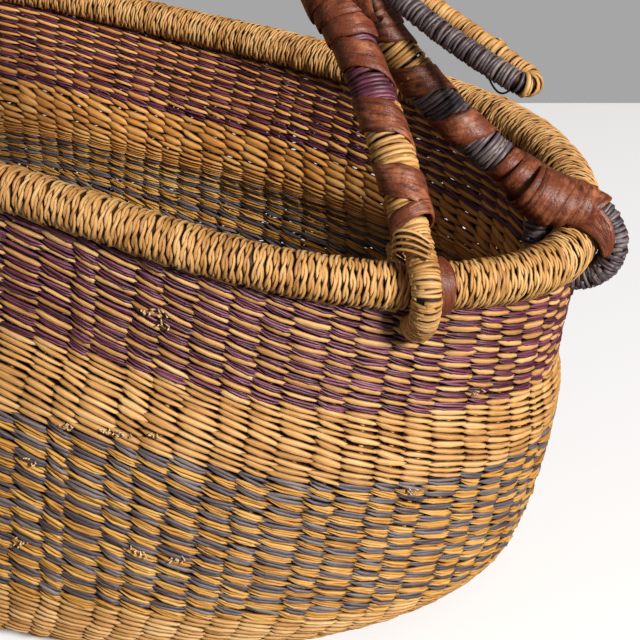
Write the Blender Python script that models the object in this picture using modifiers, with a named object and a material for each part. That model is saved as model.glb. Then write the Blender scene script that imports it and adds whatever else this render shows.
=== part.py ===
"""A bolga basket: an oval, wavy-rimmed basket of twined grass with a forked rope handle.

Metres, +Z up. X runs along the oval. The floor's underside is at Z = 0, and the origin is under the middle.
The photographed end is the one at +X. The other end is built the same way, turned half a turn about Z.
"""
import math

import bmesh
import bpy
from mathutils import Matrix, Vector

# Clearances
SEAT_GAP = 0.0003             # left between pieces that touch
SLOT_EASE = 0.0010            # room on each side of the wall where it enters the rim wrap
HOLE_EASE = 0.0009            # room round a rope where it passes through the wall

# Rim
RIM_HALF_LENGTH = 0.2416      # middle to the rim's centreline, along X
RIM_HALF_WIDTH = 0.1315
RIM_HEIGHT = 0.2050           # mean height of the rim's centreline
RIM_RADIUS = 0.0100
CORE_RADIUS = 0.0060
SWELL_SHARE = 0.055           # the rim is this much thicker or thinner than its mean
SWELL_TURN = math.radians(15)
WAVE_ONE_COS = -0.0027        # the rim's wave: heights of its harmonics round the oval
WAVE_TWO_COS = -0.0110
WAVE_TWO_SIN = 0.0036
WAVE_THREE_COS = -0.0066
WAVE_THREE_SIN = 0.0076
WAVE_FOUR_COS = 0.0050
WAVE_FOUR_SIN = -0.0015
WAVE_SIX_COS = -0.0021
CREST_RISE = 0.0521           # of the crest at the far side, over that wave
CREST_TURN = math.radians(124.6)
CREST_SHARPNESS = 7.9

# Woven wall
STAKE_COUNT = 40
STAKE_RADIUS = 0.0011
STAKE_ROOT = 0.0020           # how far a stake runs into the disc at the floor's middle
WEFT_THICKNESS = 0.0015       # one layer of weft; the stakes run between two
TURN_RISE = 0.0040            # height over the floor where the wall turns into it

# Handle
ROPE_RADIUS = 0.0066
FORK_REACH = 0.1460           # middle of the basket to where the legs meet, level
FORK_RISE = 0.0855            # of the fork over the rim's mean height
LEFT_FORK_RISE = 0.0280       # of the left fork over the right one, as the rim under it
ARCH_RISE = 0.0530            # of the middle of the grip over the forks
FORK_BEND = 0.0220            # length of rope on each side of the bend at the fork
FOOT_STAKE_COUNT = 2          # stake spaces from the handle's plane to each foot
HANDLE_STAKE_COUNT = 2        # stake spaces between the oval's long axis and the handle's plane
FRONT_TAIL_RISE = 0.0120      # of the rope's end over the rim's centreline, inside each eye
BACK_TAIL_RISE = 0.0060
FRONT_LEG_BOW = 0.0120        # up, of the point that a leg's curve turns round, from its straight line
BACK_LEG_BOW = -0.0260
FRONT_LEG_SHIFT = 0.0060      # of the same point, out along the handle
BACK_LEG_SHIFT = 0.0080
STRAW_THICKNESS = 0.0016
LEATHER_THICKNESS = 0.0012
CUFF_START = 0.0180           # leather round the foot of a leg, from where it leaves its eye
FRONT_CUFF_WIDTH = 0.0090
BACK_CUFF_WIDTH = 0.0240
STRAW_END_SETBACK = 0.0290    # from the fork
SLEEVE_SPACING = 0.0085       # between the rings of a sleeve that follows a leg's curve
STRIP_START = 0.0040          # past the cuff
STRIP_WIDTH = 0.0130
STRIP_TURNS = 2
STRAP_WIDTH = 0.0060
LASHING_LENGTH = 0.0500       # leather lump at each fork
LASHING_WIDTH = 0.0340
LASHING_HEIGHT = 0.0250

# Loop past each fork
LOOP_RADIUS = 0.0043
LOOP_REACH = 0.0600
LOOP_DROP = 0.0310
LOOP_ROOT_SPREAD = 0.0052     # of each strand from the handle's plane
LOOP_BULGE = 0.0016
LOOP_OUT = 0.0250             # hinge beyond the fork, level
LOOP_UP = 0.0040

# Shares and counts that shape the wall and the sections
MAROON_HEIGHT_SHARE = 0.7020  # lower edge of each band, as a share of the rim's mean height
NATURAL_HEIGHT_SHARE = 0.5455
GREY_HEIGHT_SHARE = 0.1544
FRONT_COLOUR_SHARE = 0.62     # along a leg's straw, where it changes colour
BACK_COLOUR_SHARE = 0.76
MAROON_REACH_SHARE = 0.970     # of the rim's half length, and below of its half width
NATURAL_REACH_SHARE = 0.974
GREY_REACH_SHARE = 0.905
TURN_REACH_SHARE = 0.754
FLOOR_REACH_SHARE = 0.60
CENTRE_REACH_SHARE = 0.14
MAROON_WIDTH_SHARE = 0.952
NATURAL_WIDTH_SHARE = 1.016
GREY_WIDTH_SHARE = 0.987
TURN_WIDTH_SHARE = 0.935
FLOOR_WIDTH_SHARE = 0.70
MAROON_WAVE_SHARE = 0.819
NATURAL_WAVE_SHARE = 0.753
GREY_WAVE_SHARE = 0.112
BASE_BAND_START = 4.35
FIRST_ROW_SHARE = 0.01
HUB_SHARE = 0.85              # thickness of the crossing of the stakes, of a stake's
LOOP_DROOP_SHARE = 0.9        # how late along its reach the loop drops
NUDGE_SHARE = 0.001           # step of the wall's slopes
WRAP_OUTER_POINTS = 10
WRAP_INNER_POINTS = 8
CORE_POINTS = 8
SLEEVE_SIDES = 12
EYE_POINTS = 12
LEG_POINTS = 19
STRIP_SPACES = 24
EYE_SWEEP = math.radians(250) # most that an eye goes round the rim
ARCH_SPACES = 10
LOOP_POINTS = 7
TURN_POINTS = 6
STRAP_POINTS = 9
ROPE_SIDES = 8
LASHING_RINGS = 8
BEND_STEPS = 4
WELD_DISTANCE = 0.000005
UP = Vector((0, 0, 1))

WALL_HALF = STAKE_RADIUS + SEAT_GAP + WEFT_THICKNESS
LAYER_OFFSET = STAKE_RADIUS + SEAT_GAP + WEFT_THICKNESS / 2
WALL_TOP_DROP = CORE_RADIUS * (1 + SWELL_SHARE) + SEAT_GAP
STAKE_STEP = 2 * math.pi / STAKE_COUNT
HANDLE_TURN = -HANDLE_STAKE_COUNT * STAKE_STEP
GRIP_SPREAD = ROPE_RADIUS + SEAT_GAP / 2
ARCH_SPACING = 2 * FORK_REACH / ARCH_SPACES

# The wall from the rim to the middle of the floor: shares of the rim's half length and half width, height and
# share of the rim's wave
STATIONS = [
    (1.0, 1.0, RIM_HEIGHT - WALL_TOP_DROP, 1.0),
    (MAROON_REACH_SHARE, MAROON_WIDTH_SHARE, RIM_HEIGHT * MAROON_HEIGHT_SHARE, MAROON_WAVE_SHARE),
    (NATURAL_REACH_SHARE, NATURAL_WIDTH_SHARE, RIM_HEIGHT * NATURAL_HEIGHT_SHARE, NATURAL_WAVE_SHARE),
    (GREY_REACH_SHARE, GREY_WIDTH_SHARE, RIM_HEIGHT * GREY_HEIGHT_SHARE, GREY_WAVE_SHARE),
    (TURN_REACH_SHARE, TURN_WIDTH_SHARE, WALL_HALF + TURN_RISE, 0),
    (FLOOR_REACH_SHARE, FLOOR_WIDTH_SHARE, WALL_HALF, 0),
    (CENTRE_REACH_SHARE, CENTRE_REACH_SHARE, WALL_HALF, 0),
]

# Bands of weft: name, first station, last station, rows of faces, colour
NATURAL_STRAW = (0.62, 0.38, 0.13)
MAROON_STRAW = (0.16, 0.035, 0.06)
GREY_STRAW = (0.14, 0.115, 0.11)
LEATHER = (0.20, 0.045, 0.02)
BANDS = [
    ("maroon_band", 0, 1, 3, MAROON_STRAW),
    ("natural_band", 1, 2, 2, NATURAL_STRAW),
    ("grey_gold_band", 2, 3, 4, GREY_STRAW),
    ("lower_band", 3, BASE_BAND_START, 3, NATURAL_STRAW),
    ("base_band", BASE_BAND_START, 6, 2, MAROON_STRAW),
]
ENDS = [("right", 0), ("left", math.pi)]

# Legs, named as at the right end: name, side of the handle's plane, cuff width, place of the colour change,
# lower and upper straw, rise of the tail, bow and shift of the curve
LEGS = [
    ("front", -1, FRONT_CUFF_WIDTH, FRONT_COLOUR_SHARE, NATURAL_STRAW, MAROON_STRAW, FRONT_TAIL_RISE,
     FRONT_LEG_BOW, FRONT_LEG_SHIFT),
    ("back", 1, BACK_CUFF_WIDTH, BACK_COLOUR_SHARE, GREY_STRAW, NATURAL_STRAW, BACK_TAIL_RISE,
     BACK_LEG_BOW, BACK_LEG_SHIFT),
]
LAYERS = [("outer", 1), ("inner", -1)]


def clear_scene():
    for item in list(bpy.data.objects):
        bpy.data.objects.remove(item, do_unlink=True)


def new_collection(name):
    group = bpy.data.collections.new(name)
    bpy.context.scene.collection.children.link(group)
    return group


def plain_material(name, colour, roughness):
    material = bpy.data.materials.new(name)
    material.use_nodes = True
    shader = material.node_tree.nodes["Principled BSDF"]
    shader.inputs["Base Color"].default_value = (*colour, 1)
    shader.inputs["Roughness"].default_value = roughness
    shader.inputs["Metallic"].default_value = 0
    return material


def add_object(name, data, group, colour, roughness=0.7):
    item = bpy.data.objects.new(name, data)
    group.objects.link(item)
    if colour:
        data.materials.append(plain_material(name, colour, roughness))
    return item


def rim_wave(angle):
    """Height of the rim's centreline over its mean, at an angle of the oval."""
    two = WAVE_TWO_COS * math.cos(2 * angle) + WAVE_TWO_SIN * math.sin(2 * angle)
    three = WAVE_THREE_COS * math.cos(3 * angle) + WAVE_THREE_SIN * math.sin(3 * angle)
    four = WAVE_FOUR_COS * math.cos(4 * angle) + WAVE_FOUR_SIN * math.sin(4 * angle)
    crest = CREST_RISE * math.exp(CREST_SHARPNESS * (math.cos(angle - CREST_TURN) - 1))
    return WAVE_ONE_COS * math.cos(angle) + two + three + four + WAVE_SIX_COS * math.cos(6 * angle) + crest


def swell(angle):
    """How thick the rim is at an angle, as a share of its mean."""
    return 1 + SWELL_SHARE * math.cos(2 * (angle - SWELL_TURN))


def outward(angle):
    """Level direction that points straight out of the oval."""
    return Vector((math.cos(angle) / RIM_HALF_LENGTH, math.sin(angle) / RIM_HALF_WIDTH, 0)).normalized()


def rim_centre(angle):
    level = Vector((RIM_HALF_LENGTH * math.cos(angle), RIM_HALF_WIDTH * math.sin(angle), RIM_HEIGHT))
    return level + UP * rim_wave(angle)


def rim_section(angle, out, up):
    """A point of the rim's upright section, out and up from its centreline before the swell."""
    return rim_centre(angle) + (outward(angle) * out + UP * up) * swell(angle)


def rim_chord(angle, out, up):
    """The same point on the flat-sided rim, between the two sections that its rings are made of."""
    ring = math.floor(angle / STAKE_STEP - 0.5)
    share = angle / STAKE_STEP - 0.5 - ring
    before, after = [rim_section((ring + 0.5 + step) * STAKE_STEP, out, up) for step in (0, 1)]
    return before.lerp(after, share)


def smooth(values, share):
    """Catmull-Rom between the middle two of four values."""
    before, start, end, after = values
    first = (end - before) / 2
    last = (after - start) / 2
    cubic = 2 * (start - end) + first + last
    square = 3 * (end - start) - 2 * first - last
    return ((cubic * share + square) * share + first) * share + start


def wall_middle(angle, place):
    """A point midway through the wall; place counts stations down from the rim."""
    index = min(int(place), len(STATIONS) - 2)
    near = [STATIONS[min(max(index + step, 0), len(STATIONS) - 1)] for step in (-1, 0, 1, 2)]
    reach, width, height, wave = [smooth([station[k] for station in near], place - index) for k in range(4)]
    level = Vector((RIM_HALF_LENGTH * math.cos(angle) * reach, RIM_HALF_WIDTH * math.sin(angle) * width, 0))
    return level + UP * (max(height, WALL_HALF) + wave * rim_wave(angle))


def wall_point(angle, place, offset, shift=0):
    """A point of the wall, offset out of its middle and shifted down along it."""
    top = max(place - NUDGE_SHARE, 0)
    bottom = min(place + NUDGE_SHARE, len(STATIONS) - 1)
    down = (wall_middle(angle, bottom) - wall_middle(angle, top)) / (bottom - top)
    place += shift / down.length
    round_rim = wall_middle(angle + NUDGE_SHARE, place) - wall_middle(angle - NUDGE_SHARE, place)
    return wall_middle(angle, place) + down.cross(round_rim).normalized() * offset


def band_places(first, last, rows):
    return [first + (last - first) * row / rows for row in range(rows + 1)]


def spin_profile(outline, columns):
    """A mesh of a closed profile turned once round Z, the profile a list of (radius, height)."""
    profile = bpy.data.meshes.new("profile")
    edges = [(k, (k + 1) % len(outline)) for k in range(len(outline))]
    profile.from_pydata([(radius, 0, height) for radius, height in outline], edges, [])
    turning = bpy.data.objects.new("profile", profile)
    bpy.context.scene.collection.objects.link(turning)
    screw = turning.modifiers.new("turn", "SCREW")
    screw.steps = columns
    screw.render_steps = columns
    screw.use_merge_vertices = True
    screw.merge_threshold = WELD_DISTANCE
    return evaluated_mesh(turning)


def evaluated_mesh(item):
    """The mesh that an object's modifiers or curve make, welded, with the object removed."""
    graph = bpy.context.evaluated_depsgraph_get()
    mesh = bpy.data.meshes.new_from_object(item.evaluated_get(graph))
    mesh.transform(item.matrix_world)
    work = bmesh.new()
    work.from_mesh(mesh)
    bmesh.ops.remove_doubles(work, verts=work.verts, dist=WELD_DISTANCE)
    work.to_mesh(mesh)
    work.free()
    bpy.data.objects.remove(item, do_unlink=True)
    return mesh


def face_out(mesh):
    work = bmesh.new()
    work.from_mesh(mesh)
    bmesh.ops.recalc_face_normals(work, faces=work.faces)
    work.to_mesh(mesh)
    work.free()


def thicken(item, thickness, side):
    solid = item.modifiers.new("thickness", "SOLIDIFY")
    solid.thickness = thickness
    solid.offset = side
    solid.use_even_offset = True
    return item


def led_ring(name, outline, lead, group, colour, columns=STAKE_COUNT):
    """A closed outline turned once round Z, with each point then led to its place by a function."""
    mesh = spin_profile([(1 + out, height) for out, height in outline], columns)
    for vertex in mesh.vertices:
        angle = math.atan2(vertex.co.y, vertex.co.x) + STAKE_STEP / 2
        vertex.co = lead(angle, math.hypot(vertex.co.x, vertex.co.y) - 1, vertex.co.z)
    face_out(mesh)
    mesh.shade_smooth()
    return add_object(name, mesh, group, colour)


def woven_layer(name, side, first, last, rows, colour, group):
    """One layer of a band's weft. The outer one has a column of faces between the stakes too, led along the curve
    of the wall but straight between the stakes at its top, where it enters the rim.
    """
    places = band_places(first, last, rows)
    edges = [side * LAYER_OFFSET + half for half in (WEFT_THICKNESS / 2, -WEFT_THICKNESS / 2)]
    outline = [(edges[0], -place) for place in places] + [(edges[1], -place) for place in places[::-1]]

    def lead(angle, out, height):
        shift = 0
        if -height - first < FIRST_ROW_SHARE and first > 0:
            shift = SEAT_GAP / 2
        if last + height < FIRST_ROW_SHARE:
            shift = -SEAT_GAP / 2
        between = abs((angle / STAKE_STEP) % 1 - 0.5) > 0.25
        if between and -height < FIRST_ROW_SHARE:
            beside = [wall_point(angle + way * STAKE_STEP / 2, -height, out, shift) for way in (-1, 1)]
            return beside[0].lerp(beside[1], 0.5)
        return wall_point(angle, -height, out, shift)

    columns = 2 * STAKE_COUNT if side > 0 else STAKE_COUNT
    return led_ring(name, outline, lead, group, colour, columns)


def stake_tubes(group):
    """The upright stakes, between the two layers of weft from the rim into the disc at the floor's middle."""
    places = [0]
    for name, first, last, rows, colour in BANDS:
        places += band_places(first, last, rows)[1:]
    curve = bpy.data.curves.new("stakes", "CURVE")
    curve.dimensions = "3D"
    curve.bevel_depth = STAKE_RADIUS
    curve.bevel_resolution = 0
    curve.use_fill_caps = True
    for stake in range(STAKE_COUNT):
        spots = [wall_point((stake + 0.5) * STAKE_STEP, place, 0) for place in places]
        inward = (spots[-1] - spots[-2]).normalized()
        spots[-1] += inward * STAKE_ROOT
        spline = curve.splines.new("POLY")
        spline.points.add(len(spots) - 1)
        for point, spot in zip(spline.points, spots):
            point.co = (*spot, 1)
    return evaluated_mesh(add_object("stakes", curve, group, None))


def oval_disc(name, low, high, group):
    """A flat disc that fills the middle of the floor between two heights."""
    work = bmesh.new()
    radius = CENTRE_REACH_SHARE
    bmesh.ops.create_cone(work, cap_ends=True, segments=STAKE_COUNT, radius1=radius, radius2=radius,
                          depth=high - low, matrix=Matrix.Rotation(STAKE_STEP / 2, 4, "Z"))
    for vertex in work.verts:
        across = Vector((vertex.co.x * RIM_HALF_LENGTH, vertex.co.y * RIM_HALF_WIDTH, 0))
        inset = across.normalized() * SEAT_GAP
        vertex.co = across - inset + UP * (vertex.co.z + (high + low) / 2)
    mesh = bpy.data.meshes.new(name)
    work.to_mesh(mesh)
    work.free()
    return add_object(name, mesh, group, NATURAL_STRAW)


def stakes(group, cutters):
    """The stakes and the flat knot in which they cross, as one body."""
    half = STAKE_RADIUS * HUB_SHARE
    item = oval_disc("stakes", WALL_HALF - half, WALL_HALF + half, group)
    tubes = as_cutter(add_object("stake_tubes", stake_tubes(group), cutters, None))
    return join(item, tubes)


def rim_wrap(group):
    """Twisted grass cord wound round the rim, open below where the wall enters."""
    half_slot = WALL_HALF + SLOT_EASE
    outline = []
    inner = clear_radius(CORE_RADIUS, WRAP_INNER_POINTS - 1)
    for radius, count, order in ((RIM_RADIUS, WRAP_OUTER_POINTS, 1), (inner, WRAP_INNER_POINTS, -1)):
        edge = math.asin(half_slot / radius) - math.pi / 2
        arc = [edge + (math.pi - 2 * edge) * k / (count - 1) for k in range(count)]
        outline += [(radius * math.cos(turn), radius * math.sin(turn)) for turn in arc[::order]]
    return led_ring("rim_wrap", outline, rim_section, group, NATURAL_STRAW)


def rim_core(group):
    turns = [2 * math.pi * k / CORE_POINTS for k in range(CORE_POINTS)]
    outline = [(CORE_RADIUS * math.cos(turn), CORE_RADIUS * math.sin(turn)) for turn in turns]
    return led_ring("rim_core", outline, rim_section, group, NATURAL_STRAW)


def foot_angle(end_turn, side):
    return HANDLE_TURN + end_turn + side * FOOT_STAKE_COUNT * STAKE_STEP


def handle_axes(end_turn):
    """Level directions of the handle at one end: out along its plane, and across it."""
    spot = rim_centre(HANDLE_TURN + end_turn)
    along = Vector((spot.x, spot.y, 0)).normalized()
    return along, UP.cross(along)


def fork_point(end_turn, across=0):
    along, sideways = handle_axes(end_turn)
    height = arch_point(-FORK_REACH if end_turn else FORK_REACH, 0).z
    return along * FORK_REACH + sideways * across + UP * height


def eye_ring(angle):
    """Radius of a rope's centreline round the rim, with room for its flat sides and for the rim's slope."""
    step = EYE_SWEEP / (EYE_POINTS - 1)
    heading = rim_centre(angle + STAKE_STEP / 2) - rim_centre(angle - STAKE_STEP / 2)
    level_share = math.hypot(heading.x, heading.y) / heading.length
    return (RIM_RADIUS * swell(angle) + SEAT_GAP + ROPE_RADIUS / level_share) / math.cos(step / 2)


def eye_path(angle, target, tail_rise):
    """The rope's end: up inside the rim, down through the wall, round the rim and off to a point."""
    centre = rim_chord(angle, 0, 0)
    out = outward(angle)
    radius = eye_ring(angle)
    level = (target - centre).dot(out)
    rise = target.z - centre.z
    leave = math.atan2(rise, level) - math.acos(radius / math.hypot(level, rise)) + 2 * math.pi
    turns = [math.pi + (leave - math.pi) * k / (EYE_POINTS - 1) for k in range(EYE_POINTS)]
    ring = [centre + out * radius * math.cos(turn) + UP * radius * math.sin(turn) for turn in turns]
    return [ring[0] + UP * tail_rise] + ring


def round_corner(before, corner, after, reach):
    """Points of a rounded corner, reach long on each side."""
    start = corner + (before - corner).normalized() * reach
    end = corner + (after - corner).normalized() * reach
    bend = []
    for step in range(BEND_STEPS + 1):
        share = step / BEND_STEPS
        bend.append(start * (1 - share) ** 2 + corner * 2 * share * (1 - share) + end * share ** 2)
    return bend


def arch_point(level, across):
    """A point of the grip, level from its middle towards +X along the handle, and across it."""
    along, sideways = handle_axes(0)
    rise = ARCH_RISE * (1 - (level / FORK_REACH) ** 2) + LEFT_FORK_RISE * (1 - level / FORK_REACH) / 2
    return along * level + sideways * across + UP * (RIM_HEIGHT + FORK_RISE + rise)


def leg_lines(end_turn, leg):
    """A leg: its eye from the tail on, then the curve on which it runs to the fork."""
    side = leg[1]
    tail_rise, bow, shift = leg[6:]
    along, sideways = handle_axes(end_turn)
    angle = foot_angle(end_turn, side)
    fork = fork_point(end_turn, side * GRIP_SPREAD)
    turn = rim_chord(angle, 0, 0).lerp(fork, 0.5) + along * shift + UP * bow
    eye = eye_path(angle, turn, tail_rise)
    curve = []
    for k in range(LEG_POINTS):
        share = k / (LEG_POINTS - 1)
        curve.append(eye[-1] * (1 - share) ** 2 + turn * 2 * share * (1 - share) + fork * share ** 2)
    return eye, curve


def run_lengths(points):
    """How far along a line each of its points is."""
    lengths = [0]
    for before, after in zip(points, points[1:]):
        lengths.append(lengths[-1] + (after - before).length)
    return lengths


def rope_end(end_turn, leg):
    """A rope from its tail to where its bend into the grip starts, and the fork that it bends round."""
    eye, curve = leg_lines(end_turn, leg)
    lengths = run_lengths(curve)
    kept = [spot for spot, run in zip(curve, lengths) if run < lengths[-1] - FORK_BEND]
    return eye + kept[1:], curve[-1]


def rope_path(side):
    """One handle rope, from the tail of its right eye to the tail of its left eye."""
    across = side * GRIP_SPREAD
    legs = {leg[1]: leg for leg in LEGS}
    right, right_fork = rope_end(0, legs[side])
    left, left_fork = rope_end(math.pi, legs[-side])
    arch = [arch_point(FORK_REACH - ARCH_SPACING * k, across) for k in range(1, ARCH_SPACES)]
    path = right
    path += round_corner(right[-1], right_fork, arch[0], FORK_BEND)
    path += arch
    path += round_corner(arch[-1], left_fork, left[-1], FORK_BEND)
    path += left[::-1]
    return path


def tube(name, path, radius, group, colour, sides=ROPE_SIDES):
    curve = bpy.data.curves.new(name, "CURVE")
    curve.dimensions = "3D"
    curve.bevel_depth = radius
    curve.bevel_resolution = sides // 2 - 2
    curve.use_fill_caps = True
    spline = curve.splines.new("POLY")
    spline.points.add(len(path) - 1)
    for point, spot in zip(spline.points, path):
        point.co = (*spot, 1)
    return add_object(name, curve, group, colour)


def bend_onto(mesh, curve):
    """Leads a mesh that stands along Z onto a leg's curve, Z as the length along it."""
    lengths = run_lengths(curve)
    side = (curve[1] - curve[0]).cross(curve[-1] - curve[0]).normalized()
    for vertex in mesh.vertices:
        ring = max(k for k in range(len(curve) - 1) if lengths[k] <= max(vertex.co.z, 0))
        share = (vertex.co.z - lengths[ring]) / (lengths[ring + 1] - lengths[ring])
        spot = curve[ring].lerp(curve[ring + 1], share)
        before = curve[max(ring - 1, 0)]
        after = curve[min(ring + 2, len(curve) - 1)]
        heading = (curve[ring + 1] - before).lerp(after - curve[ring], share).normalized()
        vertex.co = spot + side * vertex.co.x + heading.cross(side) * vertex.co.y
    mesh.update()


def clear_radius(inner, sides):
    """Radius of a ring of flat sides that stays SEAT_GAP clear of a round of radius inner."""
    return (inner + SEAT_GAP) / math.cos(math.pi / sides)


def sleeve(name, curve, start, end, radius, thickness, group, colour):
    work = bmesh.new()
    bmesh.ops.create_cone(work, cap_ends=False, segments=SLEEVE_SIDES, radius1=radius, radius2=radius,
                          depth=end - start, matrix=Matrix.Translation((0, 0, (start + end) / 2)))
    upright = [edge for edge in work.edges if abs(edge.verts[0].co.z - edge.verts[1].co.z) > WELD_DISTANCE]
    bmesh.ops.subdivide_edges(work, edges=upright, cuts=round((end - start) / SLEEVE_SPACING) - 1)
    mesh = bpy.data.meshes.new(name)
    work.to_mesh(mesh)
    work.free()
    bend_onto(mesh, curve)
    mesh.shade_smooth()
    return thicken(add_object(name, mesh, group, colour), thickness, 1)


def leather_strip(name, curve, start, pitch, radius, group):
    """A strip of leather wound up the leg along a screw."""
    work = bmesh.new()
    bmesh.ops.create_grid(work, x_segments=STRIP_SPACES, y_segments=2, size=0.5)
    for vertex in work.verts:
        wound = (vertex.co.x + 0.5) * STRIP_TURNS
        turn = 2 * math.pi * wound
        height = start + pitch * wound + (vertex.co.y + 0.5) * STRIP_WIDTH
        vertex.co = (radius * math.cos(turn), radius * math.sin(turn), height)
    mesh = bpy.data.meshes.new(name)
    work.to_mesh(mesh)
    work.free()
    bend_onto(mesh, curve)
    mesh.shade_smooth()
    return thicken(add_object(name, mesh, group, LEATHER, 0.5), LEATHER_THICKNESS, 1)


def dress_leg(tail, end_turn, leg, group):
    """The cuff, the straw wraps and the spiral strip of one leg."""
    cuff_width, colour_share, low, high = leg[2:6]
    curve = leg_lines(end_turn, leg)[1]
    length = run_lengths(curve)[-1]
    inner = clear_radius(ROPE_RADIUS, SLEEVE_SIDES)
    cuff_end = CUFF_START + cuff_width
    sleeve(f"cuff_{tail}", curve, CUFF_START, cuff_end, inner, LEATHER_THICKNESS, group, LEATHER)
    seam = SEAT_GAP / 2
    start = cuff_end + SEAT_GAP
    top = length - STRAW_END_SETBACK
    change = start + (top - start) * colour_share
    sleeve(f"straw_low_{tail}", curve, start, change - seam, inner, STRAW_THICKNESS, group, low)
    sleeve(f"straw_high_{tail}", curve, change + seam, top, inner, STRAW_THICKNESS, group, high)
    over = clear_radius(inner + STRAW_THICKNESS, SLEEVE_SIDES)
    strip_start = start + STRIP_START
    pitch = (top - strip_start - STRIP_WIDTH) / STRIP_TURNS
    leather_strip(f"strip_{tail}", curve, strip_start, pitch, over, group)


def strap(name, angle, group):
    """A leather strap laid over the rim beside an eye, both ends stopping at the wall."""
    pace = (rim_centre(angle + STAKE_STEP) - rim_centre(angle)).length / STAKE_STEP
    start = angle + (ROPE_RADIUS + 2 * SEAT_GAP) / pace
    end = start + STRAP_WIDTH / pace
    ring = (math.floor(start / STAKE_STEP - 0.5) + 1.5) * STAKE_STEP
    spots = [start, ring if ring < end else (start + end) / 2, end]
    open_half = math.asin((WALL_HALF + 2 * SLOT_EASE) / RIM_RADIUS)
    sweep = 2 * math.pi - 2 * open_half
    radius = (RIM_RADIUS + SEAT_GAP) / math.cos(sweep / STRAP_POINTS / 2)
    work = bmesh.new()
    bmesh.ops.create_grid(work, x_segments=STRAP_POINTS, y_segments=2, size=0.5)
    for vertex in work.verts:
        turn = math.radians(-90) + open_half + (vertex.co.x + 0.5) * sweep
        spot = spots[round(2 * vertex.co.y) + 1]
        vertex.co = rim_chord(spot, radius * math.cos(turn), radius * math.sin(turn))
    mesh = bpy.data.meshes.new(name)
    work.to_mesh(mesh)
    work.free()
    item = add_object(name, mesh, group, LEATHER, 0.5)
    middle = mesh.polygons[STRAP_POINTS // 2]
    away = middle.center - rim_centre(start)
    return thicken(item, LEATHER_THICKNESS, 1 if middle.normal.dot(away) > 0 else -1)


def combine(item, other, operation):
    boolean = item.modifiers.new("combine", "BOOLEAN")
    boolean.operation = operation
    boolean.solver = "EXACT"
    boolean.object = other
    return item


def cut(item, cutter):
    return combine(item, cutter, "DIFFERENCE")


def join(item, other):
    return combine(item, other, "UNION")


def as_cutter(item):
    item.hide_render = True
    item.display_type = "WIRE"
    return item


def rope_cutter(side, cutters):
    """The room that a rope needs where a lashing goes round it."""
    room = ROPE_RADIUS + SEAT_GAP
    mesh = evaluated_mesh(tube("rope_room", rope_path(side), room / math.cos(math.pi / ROPE_SIDES), cutters, None))
    return as_cutter(add_object("rope_room", mesh, cutters, None))


def round_bar(name, centre, direction, radius, length, cutters):
    work = bmesh.new()
    bmesh.ops.create_cone(work, cap_ends=True, segments=SLEEVE_SIDES, radius1=radius, radius2=radius,
                          depth=length)
    mesh = bpy.data.meshes.new(name)
    work.to_mesh(mesh)
    work.free()
    item = add_object(name, mesh, cutters, None)
    turn = direction.to_track_quat("Z", "Y").to_matrix().to_4x4()
    item.matrix_world = Matrix.Translation(centre) @ turn
    return as_cutter(item)


def hinge_point(end_turn):
    along, sideways = handle_axes(end_turn)
    return fork_point(end_turn) + along * LOOP_OUT + UP * LOOP_UP


def fork_lashing(name, end_turn, rooms, group, cutters):
    """The leather lump that binds the legs, the grip and the loop's root."""
    work = bmesh.new()
    bmesh.ops.create_uvsphere(work, u_segments=SLEEVE_SIDES, v_segments=LASHING_RINGS, radius=1)
    mesh = bpy.data.meshes.new(name)
    work.to_mesh(mesh)
    work.free()
    along, sideways = handle_axes(end_turn)
    stretch = Matrix.Diagonal((LASHING_HEIGHT / 2, LASHING_WIDTH / 2, LASHING_LENGTH / 2, 1))
    axes = Matrix((-UP, sideways, along)).transposed().to_4x4()
    mesh.transform(Matrix.Translation(fork_point(end_turn)) @ axes @ stretch)
    face_out(mesh)
    mesh.shade_smooth()
    item = add_object(name, mesh, group, LEATHER, 0.5)
    for room in rooms:
        cut(item, room)
    cradle = round_bar("cradle", hinge_point(end_turn), sideways, LOOP_RADIUS + SEAT_GAP, LASHING_WIDTH, cutters)
    cut(item, cradle)
    return item


def grip_leather(group):
    """Leather sewn round both ropes of the grip."""
    half = ROPE_RADIUS + SEAT_GAP
    radius = half / math.cos(math.pi / SLEEVE_SIDES)
    reach = FORK_REACH - ARCH_SPACING
    along, sideways = handle_axes(0)
    work = bmesh.new()
    flat_top = Matrix.Rotation(math.pi / SLEEVE_SIDES, 4, "Z")
    bmesh.ops.create_cone(work, cap_ends=False, segments=SLEEVE_SIDES, radius1=1, radius2=1, depth=1,
                          matrix=flat_top)
    rings = [edge for edge in work.edges if abs(edge.verts[0].co.z - edge.verts[1].co.z) > 0.5]
    bmesh.ops.subdivide_edges(work, edges=rings, cuts=ARCH_SPACES - 3)
    for vertex in work.verts:
        level = 2 * reach * vertex.co.z
        over = arch_point(level, 0)
        slope = -2 * ARCH_RISE * level / FORK_REACH ** 2 - LEFT_FORK_RISE / FORK_REACH / 2
        rise = (UP - along * slope).normalized()
        spread = GRIP_SPREAD * (1 if vertex.co.x > 0 else -1)
        vertex.co = over + sideways * (spread + radius * vertex.co.x) + rise * radius * vertex.co.y
    bmesh.ops.recalc_face_normals(work, faces=work.faces)
    mesh = bpy.data.meshes.new("grip_leather")
    work.to_mesh(mesh)
    work.free()
    mesh.shade_smooth()
    item = add_object("grip_leather", mesh, group, LEATHER, 0.5)
    middle = mesh.polygons[0]
    away = middle.center - arch_point(middle.center.dot(along), 0)
    return thicken(item, LEATHER_THICKNESS, 1 if middle.normal.dot(away) > 0 else -1)


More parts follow.
